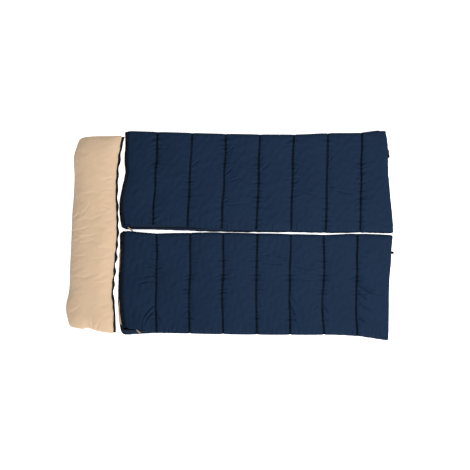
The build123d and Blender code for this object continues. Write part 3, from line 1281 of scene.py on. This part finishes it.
@dataclass
class FoldStrip:
    """The shell cloth that carries on round the fold: an upright strip between the two quilts."""

    side: str
    outline: Outline
    seams: Seams
    levels: Levels

    def build(self) -> None:
        """Makes the strip in place, on neither quilt's body."""
        low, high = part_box(f"{self.side}_fold_wrap")
        xs = np.linspace(low.x + 4 * MM, high.x - 36 * MM, 460)
        zs = np.linspace(self.levels.pocket_low - 1 * MM, self.levels.pocket_high + 1 * MM, 9)
        xx, zz = np.meshgrid(xs, zs)
        yy = np.full(xx.shape, self.outline.high[1])
        pinch = (1.0 - self.seams.puff(xx, yy)) ** 2
        px, py = self.outline.warp(xx, yy - 4.5 * MM * pinch)
        py -= 0.4 * MM
        front = np.stack([px, py, zz], -1)
        back = front.copy()
        back[..., 1] -= 1.2 * MM
        stacked, faces = slab(front, back)
        away = np.abs(self.seams.nearest(stacked[:, 0], stacked[:, 1]))
        maps = np.stack([away, stacked[:, 2]], -1)
        strip = make_object(f"{self.side}_fold_cloth", stacked, faces, Finish.SHELL, maps)
        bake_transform(strip)
        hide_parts(f"{self.side}_fold_wrap")
        log.info("%s fold: a strip between %s_base and %s_top", self.side, self.side, self.side)


# ---------------------------------------------------------------------------
# Zips and pulls
# ---------------------------------------------------------------------------

def named_joint(name: str) -> dict:
    """One of the frame's joints, by its name."""
    return next(joint for joint in frame["joints"] if joint["name"] == name)


def route(points: Sequence[tuple], radius: float, step: float) -> tuple:
    """An evenly spaced path through corners, each rounded.

    Args:
        points: The path's corners as (x, y).
        radius: The rounding of each inner corner.
        step: The spacing in metres.

    Returns:
        Places and left-hand directions, each an array of (x, y).
    """
    line = [np.array(points[0])]
    for before, corner, after in zip(points, points[1:], points[2:]):
        a, b, c = (np.array(p, float) for p in (before, corner, after))
        back, on = (a - b) / np.linalg.norm(a - b), (c - b) / np.linalg.norm(c - b)
        for share in np.linspace(0, 1, 13):
            line.append(b + back * radius * (1 - share) ** 2 + on * radius * share ** 2)
    line.append(np.array(points[-1]))
    line = np.array(line)
    length = np.concatenate([[0], np.cumsum(np.linalg.norm(np.diff(line, axis=0), axis=1))])
    even = np.linspace(0, length[-1], max(2, int(length[-1] / step) + 1))
    place = np.stack([np.interp(even, length, line[:, k]) for k in (0, 1)], -1)
    ahead = np.gradient(place, axis=0)
    ahead /= np.linalg.norm(ahead, axis=1, keepdims=True)
    return place, np.stack([-ahead[:, 1], ahead[:, 0]], -1)


@dataclass
class ZipHalf:
    """One half of a zip: a woven tape and a row of moulded teeth."""

    name: str
    body: str
    path: Sequence[tuple]
    side: float
    level: float
    tape_width: float
    tape_node: str
    teeth_node: str
    tape_rise: float = 0.0
    wave: Optional[Callable[[Array, Array], Array]] = None
    offset: float = 0.0
    tooth: tuple = (1.2 * MM, 3.0 * MM, 2.8 * MM)
    pitch: float = 2.3 * MM
    rounding: float = 20 * MM
    cloth: Finish = Finish.TAPE

    def _place(self, across: float, step: float) -> Array:
        """The path moved sideways, as (x, y)."""
        place, left = route(self.path, self.rounding, step)
        moved = place + left * self.side * across
        if self.wave is not None:
            moved[:, 0] += self.wave(moved[:, 0], moved[:, 1])
        return moved

    def build(self) -> None:
        """Makes the tape and the teeth and puts them on their body."""
        shares = np.linspace(0, 1, 8)
        rows = []
        for share in shares:
            line = self._place(2.2 * MM + share * self.tape_width, 5 * MM)
            rise = self.tape_rise * ease((share - 0.45) / 0.55)
            ripple = waves(int(self.level * 1e5), line[:, 0], line[:, 1], 0.03, 6)
            ripple = 0.35 * MM * ripple * share
            rows.append(np.column_stack([line, np.full(len(line), self.level + rise) + ripple]))
        upper = np.stack(rows)
        lower = upper.copy()
        upper[..., 2] += 0.35 * MM
        lower[..., 2] -= 0.35 * MM
        tape = make_object(f"{self.name}_tape", *slab(upper, lower, False), self.cloth)
        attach(tape, self.body)
        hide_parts(self.tape_node)
        teeth = self.teeth()
        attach(teeth, self.body)
        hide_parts(self.teeth_node)
        log.info("%s: tape and teeth on %s", self.name, self.body)

    def teeth(self) -> bpy.types.Object:
        """One mesh of moulded teeth, each a small block with a rounded head."""
        place, left = route(self.path, self.rounding, self.pitch)
        if self.offset:
            place = (place[1:] + place[:-1]) / 2
            left = left[1:]
        if self.wave is not None:
            place = place.copy()
            place[:, 0] += self.wave(place[:, 0], place[:, 1])
        ahead = np.stack([left[:, 1], -left[:, 0]], -1)
        long, wide, tall = self.tooth
        shape = np.array([
            (-0.5, -0.25, -0.5), (0.5, -0.25, -0.5), (0.5, 1, -0.5), (-0.5, 1, -0.5),
            (-0.5, -0.25, 0.5), (0.5, -0.25, 0.5), (0.5, 1, 0.5), (-0.5, 1, 0.5),
            (-0.3, -0.42, -0.3), (0.3, -0.42, -0.3), (0.3, -0.42, 0.3), (-0.3, -0.42, 0.3),
        ])
        along = shape[:, 0] * long
        across = (0.9 * MM + shape[:, 1] * wide) * self.side
        up = shape[:, 2] * tall
        flat = (
            place[:, None, :] + ahead[:, None, :] * along[None, :, None]
            + left[:, None, :] * across[None, :, None]
        )
        points = np.concatenate(
            [flat, np.broadcast_to((self.level + up)[None, :, None], flat.shape[:2] + (1,))], -1
        )
        block = (
            (3, 2, 1, 0), (4, 5, 6, 7), (1, 2, 6, 5), (2, 3, 7, 6), (3, 0, 4, 7),
            (0, 1, 9, 8), (1, 5, 10, 9), (5, 4, 11, 10), (4, 0, 8, 11), (8, 9, 10, 11),
        )
        faces = [tuple(12 * k + i for i in face) for k in range(len(place)) for face in block]
        teeth = make_object(f"{self.name}_teeth", points, faces, Finish.COIL)
        teeth.data.shade_flat()
        return teeth


@dataclass
class Pull:
    """A folded webbing pull on a slider's bail."""

    node: str
    finish: Finish
    end_width: float = 11 * MM

    def build(self) -> None:
        """Makes the pull along its CAD piece and puts it on its body."""
        low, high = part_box(self.node)
        joint = named_joint(f"{self.node}_swing")
        start = np.array(joint["pos_m"], float)
        axis = np.array(joint["axis"], float)
        middle = (np.array(low) + np.array(high)) / 2
        ahead = np.cross(axis, (0, 0, 1.0))
        ahead /= np.linalg.norm(ahead)
        if (middle - start) @ ahead < 0:
            ahead = -ahead
        side = np.array((-ahead[1], ahead[0], 0.0))
        reach = self._reach(low, high, start, ahead, side)
        count, across = 46, 13
        run = np.linspace(-1.4 * MM, reach, count)[:, None]
        lane = np.linspace(-1, 1, across)[None, :]
        neck = ease((run - 3.5 * MM) / (5 * MM))
        flare = ease((run / reach - 0.45) / 0.3)
        half = 2.2 * MM + neck * 3.3 * MM + flare * (self.end_width / 2 - 5.5 * MM)
        end = np.clip((reach - run) / (4 * MM), 0, 1)
        half = half * np.sqrt(1 - (1 - end) ** 2 * 0.75)
        bow = 1.1 * MM * np.sin(np.clip(run / reach, 0, 1) * math.pi)
        lane_height = np.sqrt(np.maximum(0.0, 1 - lane ** 8))
        thick = 0.55 * MM + 0.35 * MM * lane_height
        sew = np.abs((run - reach * 0.36)) < 0.7 * MM
        thick = np.where(sew, thick * 0.7, thick)
        level = start[2] + 0 * run * lane + bow * (1 - lane ** 2 * 0.3)
        flat = start[None, None, :2] + run[..., None] * ahead[:2]
        flat = flat + (half * lane)[..., None] * side[:2]
        upper = np.concatenate([flat, (level + thick)[..., None]], -1)
        lower = np.concatenate([flat, (level - thick)[..., None]], -1)
        pull = make_object(f"{self.node}_strap", *slab(upper, lower), self.finish)
        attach(pull, self.node)
        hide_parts(self.node)
        log.info("%s: %.0f mm of webbing", self.node, reach / MM)

    @staticmethod
    def _reach(low: Vector, high: Vector, start: Array, ahead: Array, side: Array) -> float:
        """How far the pull's far end is from its pin, from its box."""
        far = []
        edges = (high.x if ahead[0] > 0 else low.x, high.y if ahead[1] > 0 else low.y)
        for k, edge in enumerate(edges):
            if abs(ahead[k]) > 0.3:
                far.append((abs(edge - start[k]) - 4.0 * MM * abs(side[k])) / abs(ahead[k]))
        return float(min(far))


# ---------------------------------------------------------------------------
# The bags
# ---------------------------------------------------------------------------

@dataclass
class Bag:
    """One sleeping bag: two quilts joined at the fold, and a zip round its other edges."""

    side: str
    outline: Outline
    top_outline: Outline
    seams: Seams
    seed: int
    creases: Sequence[tuple] = ()
    side_overhang: float = 0.0
    overhang_start: float = 0.55
    overhang_run: float = 0.3
    zip_lean: float = 0.0
    hem_showing: float = 24 * MM
    lining_showing: Sequence[float] = (-4,)

    def build(self) -> None:
        """Builds the quilts, the fold strip, the zips and the pulls."""
        low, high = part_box(f"{self.side}_bottom_shell")
        top_low, top_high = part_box(f"{self.side}_top_shell")
        levels = Levels(low.z, high.z, top_low.z, top_high.z)
        BottomQuilt(
            self.side, self.outline, self.seams, levels, self.seed,
            lining_showing=self.lining_showing,
        ).build()
        TopQuilt(
            self.side, self.top_outline, self.seams, levels, self.seed + 100,
            side_overhang=self.side_overhang, hem_showing=self.hem_showing,
            overhang_start=self.overhang_start, overhang_run=self.overhang_run,
            creases=[Crease(*crease) for crease in self.creases],
        ).build()
        FoldStrip(self.side, self.top_outline, self.seams, levels).build()
        self._zip(levels)
        self._head_zip(levels)
        ends = (("side", Finish.TAN_PULL, 11 * MM), ("foot", Finish.BLACK_PULL, 20 * MM))
        for end, finish, width in ends:
            Pull(f"{self.side}_{end}_pull", finish, width).build()

    def _zip(self, levels: Levels) -> None:
        """The zip's two halves, down the side and across the foot."""
        lower_low, lower_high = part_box(f"{self.side}_zip_lower_teeth")
        upper_low, upper_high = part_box(f"{self.side}_zip_upper_teeth")
        half_gap = 0.8 * MM
        end_y, foot_x = upper_high.y, lower_high.x

        def lean(x: Array, y: Array) -> Array:
            """How far the zip leans in with the bag's edge near its end at the foot."""
            late = ease((y - (end_y - 320 * MM)) / (220 * MM))
            return -self.zip_lean * late * (x > foot_x - 60 * MM)

        line_y = (lower_low.y + 2.6 * MM) + half_gap
        line_x = (lower_high.x - 2.6 * MM) - half_gap
        lower = ((lower_low.x, line_y), (line_x, line_y), (line_x, lower_high.y))
        upper = ((upper_low.x, line_y), (line_x, line_y), (line_x, upper_high.y))
        ZipHalf(
            f"{self.side}_lower_zip", f"{self.side}_base", lower, -1.0, levels.middle,
            12 * MM, f"{self.side}_zip_lower_tape", f"{self.side}_zip_lower_teeth",
            tape_rise=levels.pocket_low - levels.middle, wave=lean, cloth=Finish.NAVY_TAPE,
        ).build()
        ZipHalf(
            f"{self.side}_upper_zip", f"{self.side}_top", upper, 1.0, levels.middle,
            24 * MM, f"{self.side}_zip_upper_tape", f"{self.side}_zip_upper_teeth",
            tape_rise=levels.pocket_high - levels.middle, wave=lean, offset=0.5,
            cloth=Finish.NAVY_TAPE,
        ).build()

    def _head_zip(self, levels: Levels) -> None:
        """The half zip inside the head that the pillow's zip joins."""
        low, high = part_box(f"{self.side}_head_zip_teeth")
        ZipHalf(
            f"{self.side}_head_zip", f"{self.side}_base",
            ((low.x + 1 * MM, high.y), (low.x + 1 * MM, low.y)), 1.0,
            levels.pocket_low + 2.2 * MM, 12 * MM,
            f"{self.side}_head_zip_tape", f"{self.side}_head_zip_teeth",
            tape_rise=-1.0 * MM,
        ).build()


# ---------------------------------------------------------------------------
# The pillow
# ---------------------------------------------------------------------------

@dataclass
class Pillow:
    """The full-width pillow: two tan panels blown up from their seam, fibre and a zip edge."""

    outline: Outline
    centre: tuple
    turn: float
    seam: float
    top: float
    creases: Sequence[Crease] = ()
    rows: int = 175
    columns: int = 43

    def _world(self, x: Array, y: Array) -> tuple:
        """From the pillow's own axes to the scene's."""
        c, s = math.cos(self.turn), math.sin(self.turn)
        return self.centre[0] + x * c - y * s, self.centre[1] + x * s + y * c

    def _grid(self) -> tuple:
        """The panel's flat plan and how full the pillow is at each point."""
        (x0, y0), (x1, y1) = self.outline.low, self.outline.high
        y, x = np.meshgrid(
            np.linspace(y0, y1, self.rows), np.linspace(x0, x1, self.columns), indexing="ij"
        )
        reach = 0.11
        near = []
        for place, low, high in ((x, x0, x1), (y, y0, y1)):
            d = np.minimum(place - low, high - place) / reach
            near.append(np.sqrt(1 - (1 - np.clip(d, 0, 1)) ** 2))
        full = near[0] * near[1]
        px, py = self.outline.rounded(x, y)
        beside_zip = np.clip(1 - (x1 - x) / (40 * MM), 0, 1)
        px = px + beside_zip * 2.5 * MM * waves(92, x * 0.0, y, 0.085, 8)
        return px, py, full

    def build(self) -> None:
        """Makes the pillow's pieces and puts them on their body."""
        px, py, full = self._grid()
        held = np.zeros(px.shape)
        held[0], held[-1], held[:, 0], held[:, -1] = 1, 1, 1, 1
        wx, wy = self._world(px, py)
        lumps = 1 + 0.03 * waves(71, wx, wy, 0.32) + 0.01 * waves(72, wx, wy, 0.10)
        panels = {}
        for name, sign, seed in (("front", 1, 3), ("back", -1, 8)):
            rise = (self.top - self.seam - 13 * MM) * full * lumps
            rise = rise + 0.5 * MM * waves(80 + seed, wx, wy, 0.06) * full
            sheet = np.stack([wx, wy, self.seam + sign * rise], -1)
            blower = Blower(pressure=2.2 * sign, growth=0.010, frames=22, bending=2.4)
            moved = blower.blow(f"pillow_{name}_sheet", sheet, held)
            panels[name] = sheet + SETTLED_SHARE * (moved - sheet)
        front, back = panels["front"], panels["back"]
        limit = self.top + 2 * MM
        over = np.maximum(front[..., 2] - (limit - 12 * MM), 0)
        bent = 12 * MM * np.tanh(over / (12 * MM))
        front[..., 2] = np.minimum(front[..., 2], limit - 12 * MM) + bent
        low = np.maximum(8 * MM - back[..., 2], 0)
        back[..., 2] = np.maximum(back[..., 2], 8 * MM) - 7.6 * MM * np.tanh(low / (10 * MM))
        front_fine, back_fine = upsample(front, 2), upsample(back, 2)
        self._press(front_fine)
        size = front_fine.shape[:2]
        cover = make_object("pillow_front_cloth", front_fine, grid_faces(*size, True), Finish.PILLOW)
        base = make_object("pillow_back_cloth", back_fine, grid_faces(*size), Finish.PILLOW)
        top, bottom = lowest_near(front[..., 2], 3), -lowest_near(-back[..., 2], 3)
        middle, half = (top + bottom) / 2, np.maximum(top - bottom, 0) / 2
        stacked = [
            np.concatenate([front[..., :2], (middle + half * share)[..., None]], -1)
            for share in (0.85, -0.85)
        ]
        rows, columns = front.shape[:2]
        points = np.concatenate([layer.reshape(-1, 3) for layer in stacked])
        faces = grid_faces(rows, columns, True) + grid_faces(rows, columns, False, rows * columns)
        fibre = make_object("pillow_fibre", points, faces, Finish.FIBRE)
        for piece, node in (
            (cover, "pillow_front"), (base, "pillow_back"), (fibre, "pillow_filling")
        ):
            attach(piece, "pillow")
            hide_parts(node)
        self._zip()
        Pull("pillow_pull", Finish.TAN_PULL).build()
        log.info("pillow: two panels, fibre, zip and pull")

    def _press(self, fine: Array) -> None:
        """Presses the creases into the upper panel, which are placed from its outer +Y corner."""
        c, s = math.cos(self.turn), math.sin(self.turn)
        dx, dy = fine[..., 0] - self.centre[0], fine[..., 1] - self.centre[1]
        x, y = dx * c + dy * s, dy * c - dx * s
        past, inward = x - self.outline.low[0], self.outline.high[1] - y
        edge = np.clip(np.minimum(past, self.outline.high[0] - x) / (14 * MM), 0, 1)
        for crease in self.creases:
            fine[..., 2] -= crease.press(past, inward) * edge

    def _zip(self) -> None:
        """The zip half along the side that faces the bags."""
        y0, (x1, y1) = self.outline.low[1], self.outline.high
        count = 140
        y = np.linspace(y0 + 6 * MM, y1 - 6 * MM, count)
        px, py = self.outline.warp(np.full(count, x1), y)
        frill = 4.0 * MM * waves(90, px * 0.0, y, 0.06, 8)
        wx, wy = self._world(px, py)
        lines = []
        for share in np.linspace(-0.35, 1, 7):
            width = (17 * MM + frill) * share
            lift = 0.6 * MM * waves(91, wx, wy, 0.06) * share
            lines.append(np.column_stack([
                wx + width * math.cos(self.turn), wy + width * math.sin(self.turn),
                np.full(count, self.seam) + lift,
            ]))
        upper = np.stack(lines)
        lower = upper.copy()
        upper[..., 2] += 0.5 * MM
        lower[..., 2] -= 0.5 * MM
        tape = make_object("pillow_tape", *slab(upper, lower, False), Finish.TAPE)
        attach(tape, "pillow")
        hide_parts("pillow_zip_tape")
        edge = [tuple(p[:2]) for p in lines[-1]]
        half = ZipHalf(
            "pillow_zip", "pillow", edge, 1.0, self.seam, 0.0, "", "",
            tooth=(1.2 * MM, 3.2 * MM, 2.8 * MM), rounding=0.4 * MM,
        )
        teeth = half.teeth()
        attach(teeth, "pillow")
        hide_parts("pillow_zip_teeth")


# ---------------------------------------------------------------------------
# The rest
# ---------------------------------------------------------------------------

def dress_metal() -> None:
    """Gives the sliders and stops their finishes."""
    for name, node in frame["nodes"].items():
        if name.endswith("slider"):
            node.data.materials.clear()
            node.data.materials.append(Finish.SLIDER.material)
            log.info("%s: enamelled metal", name)
        elif name.endswith("stops"):
            node.data.materials.clear()
            node.data.materials.append(Finish.COIL.material)
            log.info("%s: moulded stops", name)


@dataclass
class Studio:
    """A pale floor, soft light from above, and a camera straight above."""

    centre: tuple = (0.032, -0.0064)
    turn: float = math.radians(0.55)
    width: float = 3.356
    height: float = 10.0
    middle: float = 0.05
    sensor: float = 36.0

    def build(self) -> None:
        """Makes the floor, the lights, the world and the camera."""
        self._floor()
        self._lights()
        self._camera()
        scene = bpy.context.scene
        scene.view_settings.view_transform = "Standard"
        scene.view_settings.look = "None"
        log.info("studio: floor, lights and camera")

    def _floor(self) -> None:
        """A large matt floor."""
        mesh = bpy.data.meshes.new("floor")
        far = 12.0
        corners = [(-far, -far, 0), (far, -far, 0), (far, far, 0), (-far, far, 0)]
        mesh.from_pydata(corners, [], [(0, 1, 2, 3)])
        floor = bpy.data.objects.new("floor", mesh)
        floor.location.z = -0.001
        bpy.context.scene.collection.objects.link(floor)
        paint = Paint("floor")
        mesh.materials.append(paint.finish(
            Base_Color=(0.9, 0.9, 0.9), Roughness=0.9,
            Emission_Color=(1.0, 1.0, 1.0), Emission_Strength=1.0,
        ))

    @staticmethod
    def _lights() -> None:
        """An even sky, one wide soft lamp and a slanting sun."""
        world = bpy.data.worlds.new("sky")
        world.use_nodes = True
        sky = world.node_tree.nodes["Background"]
        sky.inputs["Color"].default_value = (1, 1, 1, 1)
        sky.inputs["Strength"].default_value = 0.34
        bpy.context.scene.world = world
        lamp = bpy.data.lights.new("softbox", "AREA")
        lamp.shape = "SQUARE"
        lamp.size = 2.6
        lamp.energy = 80.0
        holder = bpy.data.objects.new("softbox", lamp)
        holder.location = (1.35, -0.35, 2.7)
        bpy.context.scene.collection.objects.link(holder)
        key = bpy.data.lights.new("window", "SUN")
        key.energy = 2.3
        key.angle = math.radians(16)
        holder = bpy.data.objects.new("window", key)
        holder.rotation_euler = Vector((0.55, -0.85, 0.92)).to_track_quat("Z", "Y").to_euler()
        bpy.context.scene.collection.objects.link(holder)

    def _camera(self) -> None:
        """The camera, looking straight down."""
        lens = bpy.data.cameras.new("camera")
        lens.sensor_width = self.sensor
        lens.lens = self.sensor * (self.height - self.middle) / self.width
        lens.clip_end = 50
        holder = bpy.data.objects.new("camera", lens)
        holder.location = (self.centre[0], self.centre[1], self.height)
        holder.rotation_euler = (0, 0, self.turn)
        bpy.context.scene.collection.objects.link(holder)
        bpy.context.scene.camera = holder


def bag_outlines(side: str) -> tuple:
    """The straight rectangles of a bag's two quilts, from their CAD pieces."""
    hem_low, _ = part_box(f"{side}_bottom_head_hem")
    _, shell_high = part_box(f"{side}_bottom_shell")
    top_low, top_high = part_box(f"{side}_top_shell")
    return (
        ((hem_low.x, hem_low.y), (shell_high.x, shell_high.y)),
        ((top_low.x, top_low.y), (top_high.x, top_high.y)),
    )


def left_bag() -> Bag:
    """The bag on the +Y side."""
    (low, high), (top_low, top_high) = bag_outlines("left")
    head = (4, -12, -13, 5, 24, 18, 24, 19)
    foot = (12, 3, -9, -18, -28, -33, -35, -50)
    fold = (6, 2, -2, -6, -8, -9, -6, 5, 9, 28)
    edge = (26, 20, 15, 9, 7, 9, 10, 7, 12, 8)
    rim = (10, 8, 5, 3, 1, 0, 0, 0)
    seams = Seams((-0.560, 0.2475), (-0.525, 0.2428), low[1], high[1], seed=11)
    return Bag(
        "left", Outline(low, high, head, foot, edge, fold, 20 * MM, foot_radius=18 * MM),
        Outline(top_low, top_high, head, foot, rim, fold, 16 * MM, foot_radius=16 * MM),
        seams, 210,
        creases=(
            (1, (-10, 117), (-38, 58), 2.4), (1, (14, 230), (60, 188), 2.6),
            (1, (18, 275), (42, 252), 1.6), (2, (-6, 112), (-46, 56), 2.6),
            (2, (-24, 158), (-54, 117), 1.8), (2, (12, 132), (60, 82), 3.0),
            (2, (16, 158), (50, 110), 2.2), (2, (6, 288), (62, 230), 3.0),
            (2, (46, 336), (120, 304), 2.2), (2, (-18, 274), (-54, 238), 2.0),
            (2, (6, 488), (52, 452), 2.6), (2, (24, 506), (175, 484), 2.2),
            (2, (14, 455), (46, 434), 1.6), (3, (-2, 176), (-32, 154), 2.2),
            (3, (-20, 268), (-72, 262), 1.8), (3, (12, 255), (70, 206), 2.6),
            (3, (8, 184), (28, 142), 2.2), (4, (12, 275), (44, 218), 2.8),
            (4, (12, 346), (50, 310), 2.6), (4, (-8, 325), (-64, 322), 1.6),
            (4, (40, 388), (195, 442), 1.6), (5, (10, 197), (34, 154), 3.0),
            (5, (8, 255), (30, 238), 2.4), (5, (18, 376), (62, 388), 2.6),
            (5, (66, 410), (232, 428), 2.0), (6, (-12, 312), (-42, 332), 2.0),
            (6, (8, 448), (60, 446), 2.0), (1, (-46, 500), (26, 502), 1.6),
            (0, (-30, 565), (26, 568), 1.4),
        ),
        side_overhang=26 * MM, overhang_start=0.8, overhang_run=2.6, zip_lean=14 * MM,
        hem_showing=14 * MM,
    )


def right_bag() -> Bag:
    """The bag on the -Y side."""
    (low, high), (top_low, top_high) = bag_outlines("right")
    head = (17, 0, -8, -10, -7, -4, 0, -3)
    foot = (-8, -10, -10, -10, -6, 2, 6, 15)
    fold = (24, 8, 12, 18, 16, 14, 11, 9, 18, 11)
    edge = (-8, 6, 11, 14, 11, 11, 12, 9, -2, -30)
    rim = (-6, -10, -14, -16, -16, -14, -12, -22)
    seams = Seams((-0.520, 0.2385), (-0.529, 0.2390), low[1], high[1], wobble=-0.009, seed=31)
    return Bag(
        "right", Outline(low, high, head, foot, edge, fold, foot_radius=18 * MM),
        Outline(top_low, top_high, head, foot, rim, fold, 30 * MM, foot_radius=16 * MM),
        seams, 510,
        creases=(
            (0, (-60, 236), (56, 238), 2.4), (0, (0, 266), (68, 270), 2.0),
            (0, (-4, 302), (-124, 336), 2.2), (0, (-18, 344), (-152, 382), 2.2),
            (0, (-18, 520), (-112, 652), 3.0), (0, (-24, 566), (-86, 654), 2.6),
            (0, (2, 566), (54, 654), 3.0), (1, (16, 178), (74, 178), 2.0),
            (1, (16, 204), (62, 201), 1.8), (1, (-70, 158), (-12, 173), 1.4),
            (1, (-12, 402), (-62, 404), 2.0), (1, (-12, 555), (-48, 590), 1.8),
            (1, (3, 587), (28, 622), 2.4), (2, (46, 366), (200, 382), 1.4),
            (2, (40, 255), (190, 240), 1.0), (3, (13, 155), (110, 140), 1.8),
            (3, (110, 148), (230, 174), 2.8), (3, (36, 210), (228, 203), 2.2),
            (3, (6, 393), (80, 396), 1.8), (3, (5, 476), (54, 538), 2.2),
            (3, (0, 566), (34, 584), 2.6), (4, (22, 222), (130, 244), 1.8),
            (4, (120, 246), (226, 226), 2.0), (4, (46, 256), (200, 278), 1.4),
            (4, (46, 314), (195, 322), 1.4), (4, (3, 502), (50, 598), 4.0),
            (4, (8, 438), (64, 512), 2.2), (4, (14, 580), (64, 654), 2.6),
            (5, (8, 204), (46, 206), 2.2), (5, (3, 502), (52, 564), 3.4),
            (5, (-34, 508), (-64, 544), 1.8), (5, (2, 566), (26, 606), 2.6),
            (6, (12, 366), (165, 432), 4.2), (6, (6, 412), (100, 478), 4.0),
            (6, (12, 488), (152, 562), 3.4), (6, (6, 586), (80, 640), 3.8),
            (6, (12, 152), (100, 156), 1.6),
        ),
        side_overhang=24 * MM, lining_showing=(3, 9, 5, -4, 1, 9, 1, -6),
    )


def pillow() -> Pillow:
    """The pillow at the bags' heads."""
    turn = math.atan2(*named_joint("pillow_zip")["axis"][:2])
    low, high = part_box("pillow_filling")
    centre = ((low.x + high.x) / 2, (low.y + high.y) / 2)
    half = (161 * MM, 695 * MM)
    outline = Outline(
        (-half[0], -half[1]), half,
        head=(24, -5, 13, 12, 13, 13, 12, 18, 17, 8, 44),
        foot=(20, 13, -4, 1, 8, 13, 6, -5, -6, 4, 24),
        edge=(16, 9, 4, 11, -6, -14, -17),
        fold=(-22, -12, -6, -2, 2, 5),
        radius=30 * MM, end_share=0.6, foot_radius=9 * MM,
    )
    creases = (
        ((12, 610), (70, 545), 2.2), ((10, 690), (160, 640), 2.4), ((40, 725), (245, 690), 1.8),
        ((80, 770), (200, 735), 1.4), ((90, 560), (150, 470), 1.4), ((150, 600), (235, 555), 1.4),
        ((20, 865), (150, 850), 1.2), ((170, 880), (300, 850), 1.4), ((40, 1010), (180, 1000), 1.2),
        ((200, 1050), (295, 1030), 1.4), ((60, 1130), (170, 1110), 1.0),
        ((20, 1270), (120, 1200), 1.8), ((190, 1385), (175, 1290), 2.6),
        ((215, 1385), (240, 1310), 2.0), ((285, 300), (225, 330), 1.6),
        ((290, 380), (200, 400), 1.4), ((292, 520), (210, 505), 1.6),
    )
    return Pillow(
        outline, centre, -turn, low.z + (high.z - low.z) / 2, high.z,
        creases=[
            Crease(0, start, end, depth * PILLOW_CREASE, PILLOW_CREASE_SPREAD)
            for start, end, depth in creases
        ],
    )


def main() -> None:
    """Builds everything in order."""
    logging.basicConfig(level=logging.INFO, format="%(name)s: %(message)s")
    Studio().build()
    left_bag().build()
    right_bag().build()
    pillow().build()
    dress_metal()


if __name__ == "__main__":
    main()
